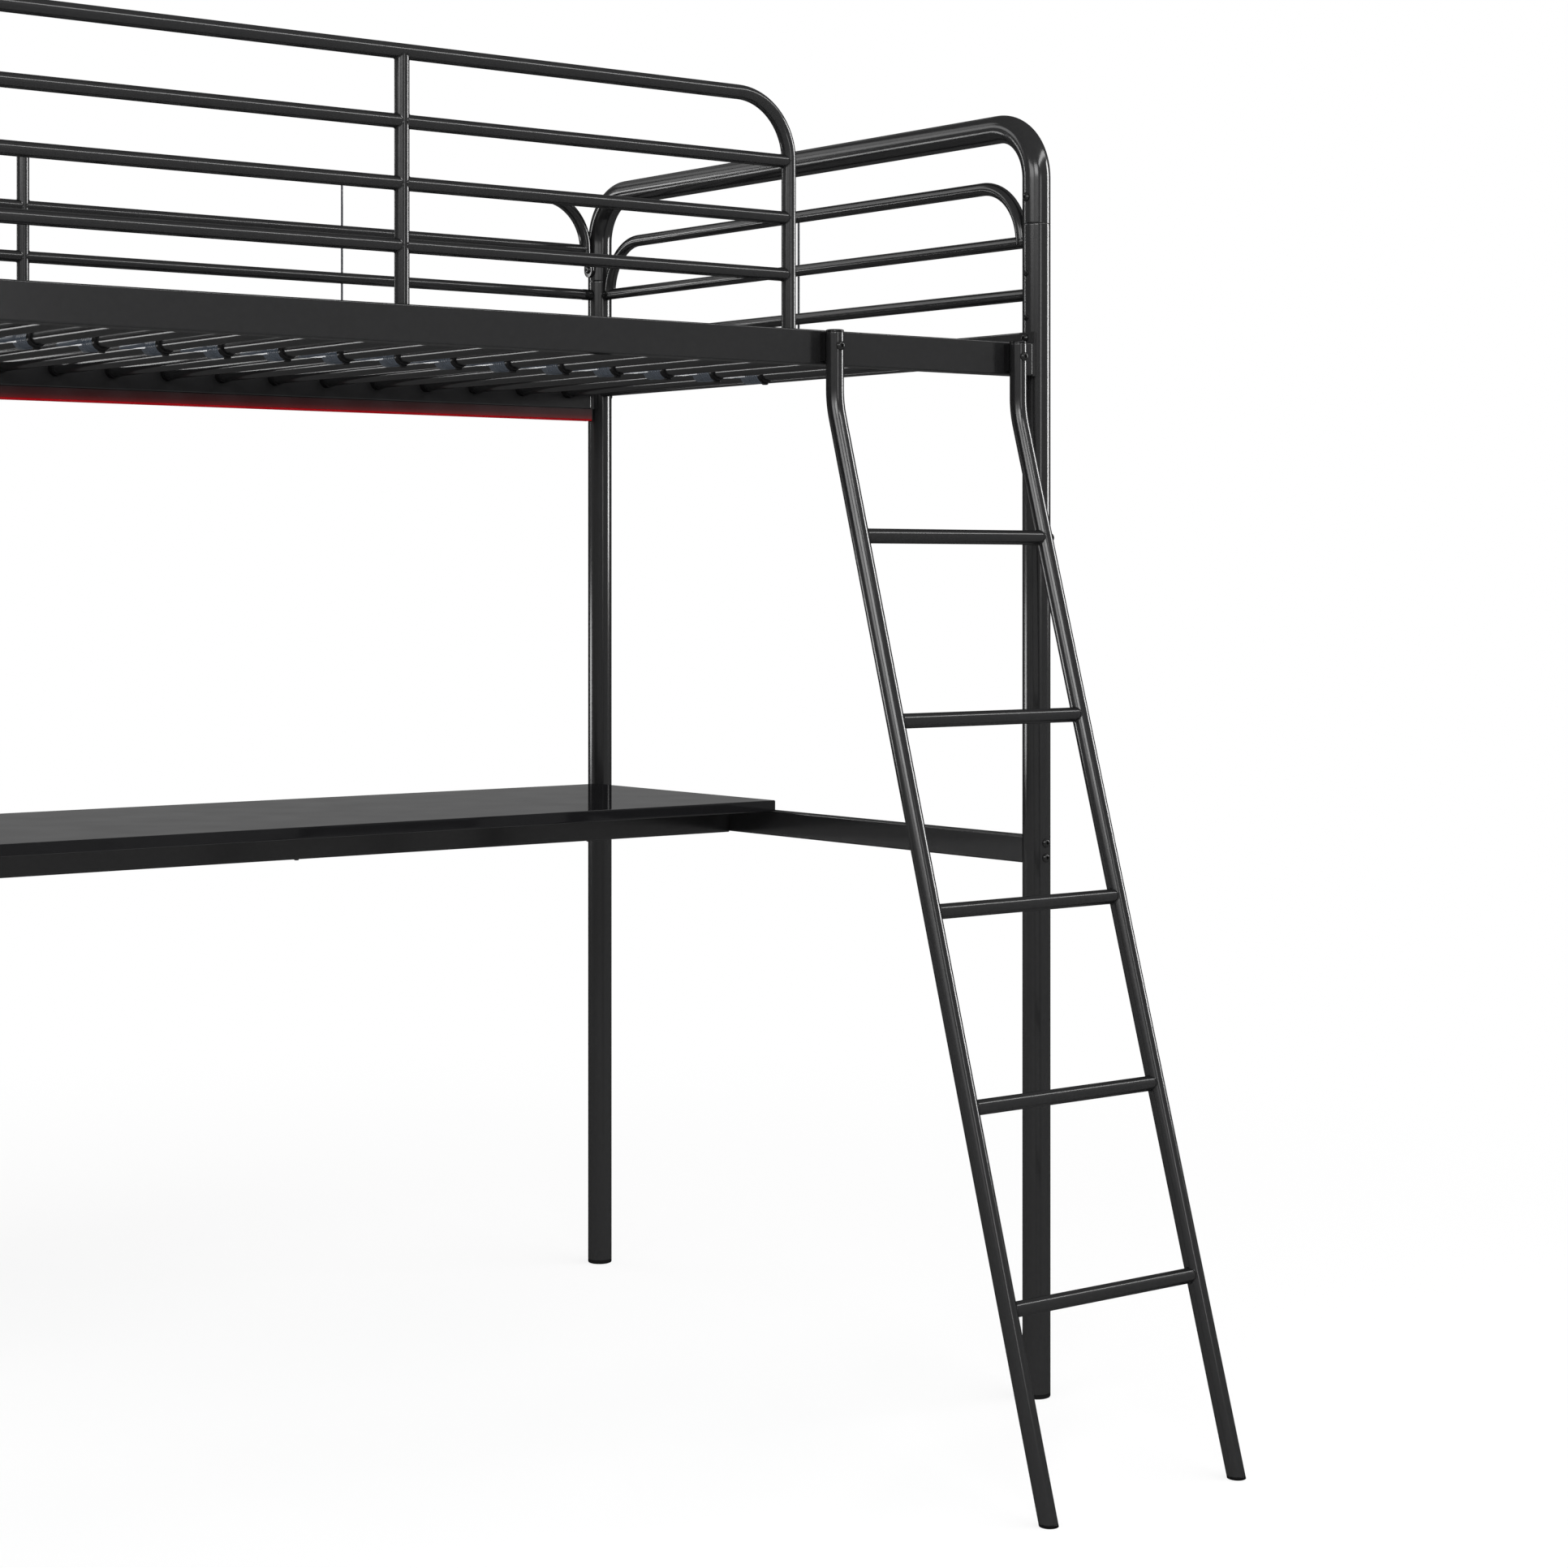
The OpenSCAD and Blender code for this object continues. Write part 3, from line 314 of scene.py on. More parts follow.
def hoop_piece(node, axis, bend, wall, feet, steps, edge=0.0006):
    """Upright, bend, level run along an axis, bend and upright, as one bent tube. Its two ends are
    at the heights in feet."""
    low, high = extent(node)
    radius = half_size(node, 1 - axis)
    top = high[2] - radius
    corners = np.tile(middle(node), (4, 1))
    corners[:2, axis], corners[2:, axis] = low[axis] + radius, high[axis] - radius
    corners[:, 2] = feet[0], top, top, feet[1]
    path, across = bent_path(corners, bend, 24), np.eye(3)[1 - axis]
    tube_piece(node, path, across, round_section(steps), radius, wall, edge=edge)


def rail_piece(node, axis, start=None, end=None, wall=0.0):
    """Rectangular tube along X (axis 0) or Y (axis 1)."""
    corner = sizes().rail_corner
    section = box_section(2 * half_size(node, 1 - axis), 2 * half_size(node, 2), corner)
    tube_piece(node, box_line(node, axis, start, end), Z, section, corner, wall)


def rod_piece(name, node, radius):
    """Thin upright rods at both X sides of a frame node's box."""
    low, high = extent(node)
    y = middle(node)[1]
    shape = Shape()
    for x in (low[0] + radius, high[0] - radius):
        add_bar(shape, line((x, y, low[2]), (x, y, high[2])), X, round_section(16), radius)
    make_piece(name, shape, "rod_steel", [node])


# ---- Finishes ----


def fill(node, *values, **named):
    """Sets a node's inputs, in their order or by name with _ for a space. Each takes a value, or
    the output of another node."""
    pairs = [*zip(node.inputs, values)]
    pairs += [(node.inputs[name.replace("_", " ")], value) for name, value in named.items()]
    for socket, value in pairs:
        if isinstance(value, bpy.types.NodeSocket):
            node.id_data.links.new(value, socket)
        else:
            socket.default_value = value


def add_node(tree, kind, *values, **named):
    """Adds a shader node and sets its inputs."""
    node = tree.nodes.new(f"ShaderNode{kind}")
    fill(node, *values, **named)
    return node


def maths(tree, kind, *values):
    """Adds a node that works out a number."""
    node = add_node(tree, "Math")
    node.operation = kind
    fill(node, *values)
    return node.outputs[0]


def grain_group():
    """Speckle, waviness and faint shade of a moulded or sprayed surface. The height is
    fine noise times Fine plus coarse noise times Wave; the roughness swings by Spread round
    Roughness, and the colour and the share of clear gloss by Shade round Colour and Gloss."""
    name = "surface_grain"
    if name in bpy.data.node_groups:
        return bpy.data.node_groups[name]
    group = bpy.data.node_groups.new(name, "ShaderNodeTree")
    inputs = {
        "Colour": (0.5, 0.5, 0.5, 1), "Roughness": 0.4, "Fine scale": 1500.0, "Wave scale": 90.0,
        "Fine": 0.5, "Wave": 0.5, "Spread": 0.05, "Shade": 0.1, "Gloss": 0.25,
    }

    def socket(label, way):
        kind = "NodeSocketColor" if label == "Colour" else "NodeSocketFloat"
        return group.interface.new_socket(name=label, in_out=way, socket_type=kind)

    for label, value in inputs.items():
        socket(label, "INPUT").default_value = value
    for label in ("Colour", "Roughness", "Height", "Gloss"):
        socket(label, "OUTPUT")
    given, result = group.nodes.new("NodeGroupInput").outputs, group.nodes.new("NodeGroupOutput")
    place = add_node(group, "TexCoord").outputs["Object"]

    def noise(scale, detail):
        node = add_node(group, "TexNoise", Vector=place, Scale=given[scale], Detail=detail)
        return node.outputs["Fac"]

    fine, wave = noise("Fine scale", 2.0), noise("Wave scale", 3.0)
    swell = maths(group, "MULTIPLY", wave, given["Wave"])
    height = maths(group, "MULTIPLY_ADD", fine, given["Fine"], swell)
    centred = maths(group, "SUBTRACT", wave, 0.5)
    rough = maths(group, "MULTIPLY_ADD", centred, given["Spread"], given["Roughness"])
    lift = maths(group, "MULTIPLY_ADD", centred, given["Shade"], 1.0)
    tint = add_node(group, "VectorMath")
    tint.operation = "SCALE"
    fill(tint, given["Colour"], Scale=lift)
    gloss = maths(group, "MULTIPLY", lift, given["Gloss"])
    fill(result, tint.outputs["Vector"], rough, height, gloss)
    return group


# Of each finish: its colour, the share of it that is used, the height of the bump, the clear
# coat's roughness and IOR, then what the surface grain takes: roughness, fine scale, wave scale,
# fine, wave, spread, shade and gloss.
LOOKS = {
    "powder_coat": ("frame", 1, 0.00001, 0.15, 4.0, 0.42, 900, 160, 0.15, 0.25, 0.08, 0.2, 0.044),
    "rod_coat": ("rods", 1, 0.00002, 0.1, 3.0, 0.35, 900, 200, 0.5, 0.5, 0.05, 0.2, 0.06),
    "black_plastic": ("caps", 1, 0.00004, 0.2, 3.0, 0.40, 1400, 220, 0.8, 0.4, 0.05, 0.2, 0.02),
    "grey_plastic": ("clips", 1, 0.00004, 0.08, 3.0, 0.33, 1400, 260, 0.8, 0.5, 0.05, 0.35, 0.08),
    "bolt_steel": ("bolts", 1, 0.00002, 0.12, 4.0, 0.30, 2200, 500, 0.5, 0.5, 0.2, 0.3, 0.04),
    "desk_laminate": ("desk", 1, 0.00002, 0.06, 1.5, 0.5, 700, 14, 0.15, 1.0, 0.05, 0.3, 0.17),
    "light_red": ("glow", 0.3, 0.00002, 0.03, 1.5, 0.6, 500, 60, 0.5, 0.5, 0.05, 0.1, 0.02),
}
# The light channel has the frame's powder coat, with the light strip's red glow painted on it as emission.
LOOKS["painted_glow_channel"] = LOOKS["powder_coat"]
COATS = {"frame_steel": "powder_coat", "rod_steel": "rod_coat", "desk_board": "desk_laminate"}
# Of each glowing surface: the frame node that gives its heights, the share of the glow at some of
# them, from 0 at the foot to 1 at the top, and the strength. The light strip gives off its own
# light; on the channel the strip's red glow is painted light, strongest at the foot.
GLOWS = {
    "painted_glow_channel": ("light_channel", ((0.0, 0.11), (0.4, 0.032), (1.0, 0.009)), 1.0),
    "light_red": ("light_diffuser", ((0.0, 1.0), (0.5, 0.6), (1.0, 0.3)), 0.14),
}


def material_of(finish):
    """The material of a finish, made the first time it is asked for: a Principled one
    on Object coordinates with the shared grain. All its gloss is the clear coat's."""
    look = COATS.get(finish, finish)
    name = f"{look}_finish"
    if name in bpy.data.materials:
        return bpy.data.materials[name]
    tint, share, bump, coat_roughness, coat_ior, *grain = LOOKS[look]
    material = bpy.data.materials.new(name)
    material.use_nodes = True
    tree = material.node_tree
    surface = add_node(tree, "Group")
    surface.node_tree = grain_group()
    fill(surface, (*np.array(getattr(colours(), tint)) * share, 1), *grain)
    of = surface.outputs
    ripple = add_node(tree, "Bump", Strength=1.0, Distance=bump, Height=of["Height"])
    shader = tree.nodes["Principled BSDF"]
    fill(shader, of["Colour"], Roughness=of["Roughness"], Normal=ripple.outputs["Normal"])
    fill(shader, Coat_Weight=of["Gloss"], Coat_Roughness=coat_roughness, Coat_IOR=coat_ior)
    fill(shader, Specular_IOR_Level=0.0)
    if look in GLOWS:
        add_glow(tree, *GLOWS[look])
    return material


def add_glow(tree, node, shares, strength):
    """Makes a material give off light by its height on Object coordinates: the light strip's own
    light, or on the channel the strip's red glow painted on as light.
    """
    low, high = extent(node)
    place = add_node(tree, "TexCoord").outputs["Object"]
    height = add_node(tree, "SeparateXYZ", place).outputs["Z"]
    span = add_node(tree, "MapRange", height, From_Min=low[2], From_Max=high[2])
    ramp = add_node(tree, "ValToRGB", span.outputs["Result"])
    stops = ramp.color_ramp.elements
    for i, (where, share) in enumerate(shares):
        stop = stops[i] if i < 2 else stops.new(where)
        stop.position, stop.color = where, (*np.array(colours().glow) * share, 1)
    shader = tree.nodes["Principled BSDF"]
    fill(shader, Emission_Color=ramp.outputs["Color"], Emission_Strength=strength)


def dress(node, finish):
    """Gives a frame node that keeps its own shape its finish."""
    mesh = frame["nodes"][node].data
    mesh.materials.clear()
    mesh.materials.append(material_of(finish))


# ---- Settings ----


def colours():
    """The colours that the sidebar shows."""
    return bpy.context.scene.loft_bed_colours


def sizes():
    """The sizes that the sidebar shows."""
    return bpy.context.scene.loft_bed_sizes


def length(name, text, value):
    """A length setting in metres."""
    return bpy.props.FloatProperty(
        name=name, description=text, default=value, min=0.0, unit="LENGTH", subtype="DISTANCE"
    )


def colour(name, text, value):
    """A colour setting in linear red, green and blue."""
    return bpy.props.FloatVectorProperty(
        name=name, description=text, default=value, size=3, min=0.0, max=1.0, subtype="COLOR"
    )


class LoftBedSizes(bpy.types.PropertyGroup):
    """Sizes that the boxes of the frame's nodes don't give."""

    post_wall: length("Post wall", "Wall of the posts and arches", 0.0016)
    thin_wall: length("Thin wall", "Wall of the bars, bows and guards", 0.0012)
    rail_wall: length("Rail wall", "Wall of the rectangular rails", 0.0015)
    rail_corner: length("Rail corner", "Corner radius of the rectangular rails", 0.002)
    arch_bend: length("Arch bend", "Bend radius of the end arches", 0.075)
    bow_bend: length("Bow bend", "Bend radius of the bows and guards", 0.08)
    ladder_bend: length("Ladder bend", "Bend radius of the ladder rails", 0.13)
    foot_edge: length("Foot edge", "Rounding under the feet", 0.002)
    weld: length("Weld", "Size of the weld beads", 0.0011)
    slats: bpy.props.IntProperty(name="Slats", description="Number of slats", default=22, min=2)
    rungs: bpy.props.IntProperty(name="Rungs", description="Number of ladder rungs", default=5, min=2)


class LoftBedColours(bpy.types.PropertyGroup):
    """Colours of the finishes."""

    frame: colour("Frame", "Powder coat of the steel frame", (0.0085, 0.0085, 0.0088))
    rods: colour("Rods", "Coat of the thin tie rods", (0.020, 0.022, 0.027))
    caps: colour("Caps", "Black plastic of caps and collars", (0.005, 0.005, 0.0052))
    clips: colour("Clips", "Plastic of the slat clips", (0.034, 0.041, 0.052))
    bolts: colour("Bolts", "Blackened steel of the fasteners", (0.006, 0.006, 0.006))
    desk: colour("Desk", "Laminate of the desk top", (0.006, 0.006, 0.0065))
    glow: colour("Glow", "Light of the light bar", (0.75, 0.012, 0.02))
    floor: colour("Floor", "Studio floor", (0.82, 0.82, 0.82))


# ---- Posts and arches ----


class LOFTBED_OT_posts(bpy.types.Operator):
    """Builds the posts, their foot caps and the plugs in their holes"""

    bl_idname = "loft_bed.posts"
    bl_label = "Posts"

    def execute(self, context):
        for side, row in CORNERS:
            node = f"post_{row}_{side}"
            path, section = box_line(node, 2), round_section(56)
            tube_piece(node, path, X, section, POST_R, sizes().post_wall, edge=THICK_EDGE)
        self.feet()
        self.plugs()
        return {"FINISHED"}

    def feet(self):
        """Caps with a rounded lower edge and a plug that reaches up into the tube."""
        post_low, plug_top = extent("post_front_right")[0][2], extent("post_foot_caps")[1][2]
        plug_r = POST_R - sizes().post_wall - 2 * FIT
        profile = rim(POST_R, sizes().foot_edge, 0.293)
        profile += [[post_low, POST_R], [post_low, plug_r], [plug_top, plug_r]]
        shape = Shape()
        shape.add(turned(profile, Z, 56), at=[post_centre(*corner) for corner in CORNERS])
        make_piece("post_feet", shape, "black_plastic", ["post_foot_caps"])

    def plugs(self):
        """Domed plugs: height = rise sin t / sin T and radius = r cos t, for t from 0 to T."""
        low, high = extent("post_plugs")
        radius, rise, sweep = 0.0045, 0.0009, 1.2
        stem_r, stem = 0.003, 0.006
        t = np.linspace(0, sweep, 6)
        dome = np.column_stack([rise * np.sin(t) / math.sin(sweep), radius * np.cos(t)])
        profile = [[-stem, stem_r], [0, stem_r], *dome]
        heights = (low[2] + radius, high[2] - radius)
        shape = Shape()
        for side, row in CORNERS:
            inward = -SIDES[side] * X
            shape.add(turned(profile, inward, 24), at=on_post(side, row, inward, heights))
        make_piece("hole_plugs", shape, "black_plastic", ["post_plugs"])


class LOFTBED_OT_end_frames(bpy.types.Operator):
    """Builds the arches, bows, bars, tie rods and cross rails of both ends"""

    bl_idname = "loft_bed.end_frames"
    bl_label = "End frames"

    def execute(self, context):
        for side in SIDES:
            hoops = {"arch": (sizes().arch_bend, sizes().post_wall), "bow": (sizes().bow_bend, 0.0)}
            for name, (bend, wall) in hoops.items():
                node = f"end_{name}_{side}"
                foot = extent(node)[0][2]
                hoop_piece(node, 1, bend, wall, (foot, foot), steps=56, edge=THICK_EDGE)
            self.bars(side)
            front, back = (post_centre(side, row)[1] for row in ROWS)
            rail_piece(f"cross_rail_{side}", 1, front + IN_POST, back - IN_POST)
        rod_piece("end_rods", "end_tie_rods", radius=0.0017)
        dress("joint_sleeves", "frame_steel")
        return {"FINISHED"}

    def bars(self, side):
        """The lowest and the highest straight bar, from post to post."""
        node = f"end_bars_{side}"
        low, high = extent(node)
        radius = half_size(node, 0)
        front, back = (post_centre(side, row) for row in ROWS)
        shape = Shape()
        for z in (low[2] + radius, high[2] - radius):
            path = line(front + Z * z + Y * IN_POST, back + Z * z - Y * IN_POST)
            add_bar(shape, path, X, round_section(32), radius)
            for post, way in ((front, Y), (back, -Y)):
                add_weld(shape, post + Z * z, way, Z, radius, POST_R)
        make_piece(f"{node}_tubes", shape, "frame_steel", [node])


# ---- Side rails and slats ----

SLEEVE_LAP = 0.006  # how far a clip's sleeve reaches over the collar beside it


class LOFTBED_OT_side_rails(bpy.types.Operator):
    """Builds the long side rails and dresses the brackets that hold them"""

    bl_idname = "loft_bed.side_rails"
    bl_label = "Side rails"

    def execute(self, context):
        for row in ROWS:
            rail_piece(f"side_rail_{row}", 0, wall=sizes().rail_wall)
        dress("rail_saddles", "frame_steel")
        return {"FINISHED"}


class LOFTBED_OT_slats(bpy.types.Operator):
    """Builds the slat tubes with their clips, collars and end caps"""

    bl_idname = "loft_bed.slats"
    bl_label = "Slats"

    def execute(self, context):
        low, high = extent("slat_tubes_front")
        self.radius = half_size("slat_tubes_front", 2)
        self.z = (low[2] + high[2]) / 2
        x = np.linspace(low[0] + self.radius, high[0] - self.radius, sizes().slats)
        places = x[:, None] * X
        for row in ROWS:
            node = f"slat_tubes_{row}"
            low, high = extent(node)
            path = line((0, low[1], self.z), (0, high[1], self.z))
            shape = Shape()
            add_bar(shape, path, X, round_section(28), self.radius, at=places, edge=0.0004)
            make_piece(f"{node}_row", shape, "frame_steel", [node])
        self.clips(places)
        self.collars(places)
        self.caps(places)
        return {"FINISHED"}

    def clips(self, places):
        """Ribbed sleeve: its radius swings between the ribs as a raised cosine. Behind it, a
        tongue on either side of the tube narrows to its tip: x = sqrt(r^2 - height^2)."""
        low, high = extent("slat_clips")
        inner, outer = self.radius + FIT, self.z - low[2]
        start, sleeve = low[1] - SLEEVE_LAP, 0.040
        ribbed, ribs, groove = 0.027, 5, 0.0015
        plain, chamfer = outer - 0.0005, 0.0006
        s = np.linspace(0, 1, 8 * ribs + 1)
        wave = outer - groove * (0.5 + 0.5 * np.cos(2 * math.pi * ribs * s)) ** 1.5
        profile = [[0, inner], *np.column_stack([s * ribbed, wave])]
        profile += [[ribbed + 0.001, plain], [sleeve - chamfer, plain]]
        profile += [[sleeve, plain - chamfer], [sleeve, inner]]
        shape = Shape()
        body = turned(profile, Y, 40) + (0, start, self.z)
        shape.add(body, wrap_rows=True, at=places)
        lap, lift, root, tip = 0.001, 0.001, 0.0052, 0.0018
        t = np.linspace(0, 1, 9)[:, None]
        height = lift + (root * (1 - t) + tip * t) * np.linspace(-1, 1, 9)
        y = start + sleeve - lap + t * (high[1] - start - sleeve) + 0 * height
        near, far = inner + FIT, inner + 0.0019 - 0.0009 * t
        for side in SIDES.values():
            back, front = (
                np.stack([side * np.sqrt(r**2 - height**2), y, self.z + height], -1) for r in (near, far)
            )
            shape.add(np.concatenate([front, back[:, ::-1]], 1), at=places)
        make_piece("slat_clip_row", shape, "grey_plastic", ["slat_clips"])

    def collars(self, places):
        """Dark ring in front of each clip, with a small lug under it."""
        low, high = extent("slat_collars")
        inner, outer = self.radius + FIT, self.z - low[2]
        size, bevel, lug_corner = high[1] - low[1] - SLEEVE_LAP, 0.001, 0.002
        profile = [[0, inner], *rim(outer, 0.0012)]
        profile += [[size - bevel, outer], [size, outer - bevel], [size, inner]]
        shape = Shape()
        shape.add(turned(profile, Y, 40) + (0, low[1], self.z), wrap_rows=True, at=places)
        z = self.z - outer
        path = line((0, low[1] + lug_corner, z), (0, low[1] + size - bevel, z))
        lug = box_section(0.009, 0.006, lug_corner, 4)
        add_bar(shape, path, Z, lug, lug_corner, edge=0.001, at=places)
        make_piece("slat_collar_row", shape, "black_plastic", ["slat_collars"])

    def caps(self, places):
        """Caps over both ends of each slat."""
        low, high = extent("slat_end_caps")
        outer, size = half_size("slat_end_caps", 2), 0.014
        profile = [*rim(outer, 0.0015), [size, outer], [size, self.radius + FIT]]
        shape = Shape()
        for y, way in ((low[1], Y), (high[1], -Y)):
            shape.add(turned(profile, way, 36) + (0, y, self.z), at=places)
        make_piece("slat_end_cap_row", shape, "black_plastic", ["slat_end_caps"])


# ---- Guards ----


class LOFTBED_OT_guards(bpy.types.Operator):
    """Builds the guards with their uprights, bars, rods, end tabs and ferrules"""

    bl_idname = "loft_bed.guards"
    bl_label = "Guards"

    def execute(self, context):
        tab_top = extent("guard_end_tabs")[1][2]
        for row in ROWS:
            node = f"{row}_guard_top"
            right_foot = tab_top if row == "back" else extent(node)[0][2]
            hoop_piece(node, 0, sizes().bow_bend, sizes().thin_wall, (tab_top, right_foot), steps=40)
            self.upright(row)
            self.bars(row)
        rod_piece("back_guard_rods", "back_guard_tie_rods", half_size("back_guard_tie_rods", 1))
        self.tabs()
        self.ferrules()
        return {"FINISHED"}

    def upright(self, row):
        """Upright that runs into the guard's top tube."""
        node, top_node = f"{row}_guard_upright", f"{row}_guard_top"
        radius, top_r = half_size(node, 0), half_size(top_node, 1)
        path = box_line(node, 2, end=extent(top_node)[1][2] - top_r)
        shape = Shape()
        add_bar(shape, path, X, round_section(36), radius)
        add_weld(shape, path[0][1], -Z, X, radius, top_r)
        make_piece(f"{node}_tube", shape, "frame_steel", [node])

    def bars(self, row):
        """Bars at three heights, on both sides of the upright. The highest runs from leg to leg
        of the top tube, the others to the posts where the guard ends on them."""
        node, top_node, upright_node = (f"{row}_guard_{part}" for part in ("bars", "top", "upright"))
        low, high = extent(node)
        radius, leg_r, upright_r = half_size(node, 1), half_size(top_node, 1), half_size(upright_node, 0)
        y, upright = middle(node)[1], middle(upright_node)[0]
        top_low, top_high = extent(top_node)
        leg_left, leg_right = top_low[0] + leg_r, top_high[0] - leg_r
        z_low, z_high = low[2] + radius, high[2] - radius
        into_post = 0.002
        shape = Shape()
        for z in (z_low, (z_low + z_high) / 2, z_high):
            left, right = leg_left, leg_right
            if z < z_high:
                left = extent("post_front_left")[1][0] - into_post
                if row == "back":
                    right = extent("post_front_right")[0][0] + into_post
            for start, end in ((left, upright), (upright, right)):
                add_bar(shape, line((start, y, z), (end, y, z)), Z, round_section(28), radius)
            for way in (X, -X):
                add_weld(shape, (upright, y, z), way, Z, radius, upright_r)
            if z == z_high:
                add_weld(shape, (leg_left, y, z), X, Z, radius, leg_r)
            if z == z_high or row == "front":
                add_weld(shape, (leg_right, y, z), -X, Z, radius, leg_r)
        make_piece(f"{node}_tubes", shape, "frame_steel", [node])

    def tabs(self):
        """Flattened leg: a superellipse |x / a|^n + |y / b|^n = 1 at each height, from the round
        tube down to a flat tongue with a round end."""
        low, high = extent("guard_end_tabs")
        tube_r, half = half_size("back_guard_top", 1), 0.012
        flat_top = low[2] + 2 * half
        u = np.linspace(0, 1, 8)
        smooth = u * u * (3 - 2 * u)
        # Short of a quarter turn, so that no ring is a point
        w = np.linspace(0, 0.97, 9)[1:] * math.pi / 2
        flattening = np.append(smooth, np.ones(len(w) + 1))
        a = tube_r + (TAB_T / 2 - tube_r) * flattening
        n = 2 + 6 * flattening
        shift = (tube_r - TAB_T / 2) * flattening
        b = np.concatenate([tube_r + (half - tube_r) * smooth, [half], half * np.cos(w)])
        round_end = low[2] + half - half * np.sin(w)
        z = np.concatenate([high[2] + (flat_top - high[2]) * u, [low[2] + half], round_end])
        t = np.arange(32) / 32 * 2 * math.pi
        power = (2 / n)[:, None]
        across = a[:, None] * np.sign(np.cos(t)) * np.abs(np.cos(t)) ** power
        along = b[:, None] * np.sign(np.sin(t)) * np.abs(np.sin(t)) ** power
        shape = Shape()
        for side, row in GUARD_ENDS:
            post, sign = post_centre(side, row), SIDES[side]
            x = post[0] + sign * (shift[:, None] + across - POST_R - tube_r)
            shape.add(np.stack([x, post[1] + along, z[:, None] + 0 * x], -1))
        make_piece("guard_tabs", shape, "frame_steel", ["guard_end_tabs"], sharp=math.radians(50))

    def ferrules(self):
        """Sleeves round the bars' ends at the posts."""
        low, high = extent("guard_bar_ferrules")
        bar_r = half_size("back_guard_bars", 1)
        radius = extent("back_guard_bars")[0][2] + bar_r - low[2]
        size, into_post, lap = 0.015, 0.006, 0.0005
        profile = [[-into_post, radius], [size - 0.001, radius], [size, radius - 0.0006], [size, bar_r - lap]]
        heights = (low[2] + radius, high[2] - radius)
        shape = Shape()
        for side, row in GUARD_ENDS:
            inward = -SIDES[side] * X
            shape.add(turned(profile, inward, 32), at=on_post(side, row, inward, heights))
        make_piece("bar_ferrules", shape, "black_plastic", ["guard_bar_ferrules"])


# ---- Ladder ----


class LOFTBED_OT_ladder(bpy.types.Operator):
    """Builds the leaning ladder with its rungs, caps and spacers"""

    bl_idname = "loft_bed.ladder"
    bl_label = "Ladder"

    def execute(self, context):
        low, high = extent("ladder_rungs")
        self.first, self.last = low[1:] + RUNG_R, high[1:] - RUNG_R
        run, rise = self.last - self.first
        self.slope = run / rise
        self.rails = [middle(f"ladder_rail_{side}")[0] for side in SIDES]
        self.rail_r = half_size("ladder_rail_left", 0)
        low, high = extent("ladder_rail_left")
        self.foot_z, self.top_z, self.top_y = low[2], high[2], high[1] - self.rail_r
        bend_z = self.first[1] + (self.top_y - self.first[0]) / self.slope
        heights = (self.foot_z, bend_z, self.top_z)
        depths = (self.lean_y(self.foot_z), self.top_y, self.top_y)
        for side, x in zip(SIDES, self.rails):
            node = f"ladder_rail_{side}"
            path = bent_path([(x, y, z) for y, z in zip(depths, heights)], sizes().ladder_bend, 14)
            section, wall = round_section(44), 0.0015
            tube_piece(node, path, X, section, self.rail_r, wall, edge=0.0004, level=4)
        self.rungs()
        self.caps()
        self.spacers()
        dress("rung_insert", "bolt_steel")
        return {"FINISHED"}

    def lean_y(self, z):
        """Y of the leaning rails' middle line at a height: first + (z - first z) slope."""
        return self.first[0] + (z - self.first[1]) * self.slope

    def rungs(self):
        """Level tubes from rail to rail, at even steps."""
        lean = math.atan(self.slope)
        up = np.array([0, math.sin(lean), math.cos(lean)])
        shape = Shape()
        for z in np.linspace(self.first[1], self.last[1], sizes().rungs):
            left, right = (np.array([x, self.lean_y(z), z]) for x in self.rails)
            add_bar(shape, line(left, right), Z, round_section(32), RUNG_R)
            for end, way in ((left, X), (right, -X)):
                add_weld(shape, end, way, up, RUNG_R, self.rail_r)
        make_piece("ladder_rung_row", shape, "frame_steel", ["ladder_rungs"])

    def caps(self):
        """Caps under the leaning rails, and caps with a rounded edge on top."""
        feet, tops = Shape(), Shape()
        size, radius = extent("ladder_top_caps")[1][2] - self.top_z, self.rail_r
        flat_r, stem = radius - 0.002, 0.008
        dome = [[-stem, flat_r], [0, flat_r], [0, radius], [size - 0.0015, radius]]
        dome += [[size - 0.0004, radius - 0.0005], [size, flat_r]]
        for x in self.rails:
            path = line((x, self.lean_y(0), 0), (x, self.lean_y(self.foot_z), self.foot_z))
            add_bar(feet, path, X, round_section(44), radius, edge=0.0012, level=10)
            tops.add(turned(dome, Z, 44), at=[(x, self.top_y, self.top_z)])
        make_piece("ladder_feet", feet, "black_plastic", ["ladder_foot_caps"])
        make_piece("ladder_tops", tops, "black_plastic", ["ladder_top_caps"])

    def spacers(self):
        """Block behind each ladder rail, its front hollowed to the rail's round: the front lies
        at x = r sin t, y = r cos t from the rail's middle line."""
        low, high = extent("ladder_spacers")
        radius, sweep = self.rail_r, math.asin(0.995)
        t = np.linspace(sweep, -sweep, 15)
        y = np.maximum(self.top_y + radius * np.cos(t), low[1])
        front = np.column_stack([radius * np.sin(t), y])
        outline = [*front, [-radius, high[1]], [radius, high[1]]]
        shape = Shape()
        shape.add(prism(outline, 2, low[2], high[2]), at=[(x, 0, 0) for x in self.rails])
        make_piece("ladder_rail_spacers", shape, "black_plastic", ["ladder_spacers"])


# ---- Desk ----


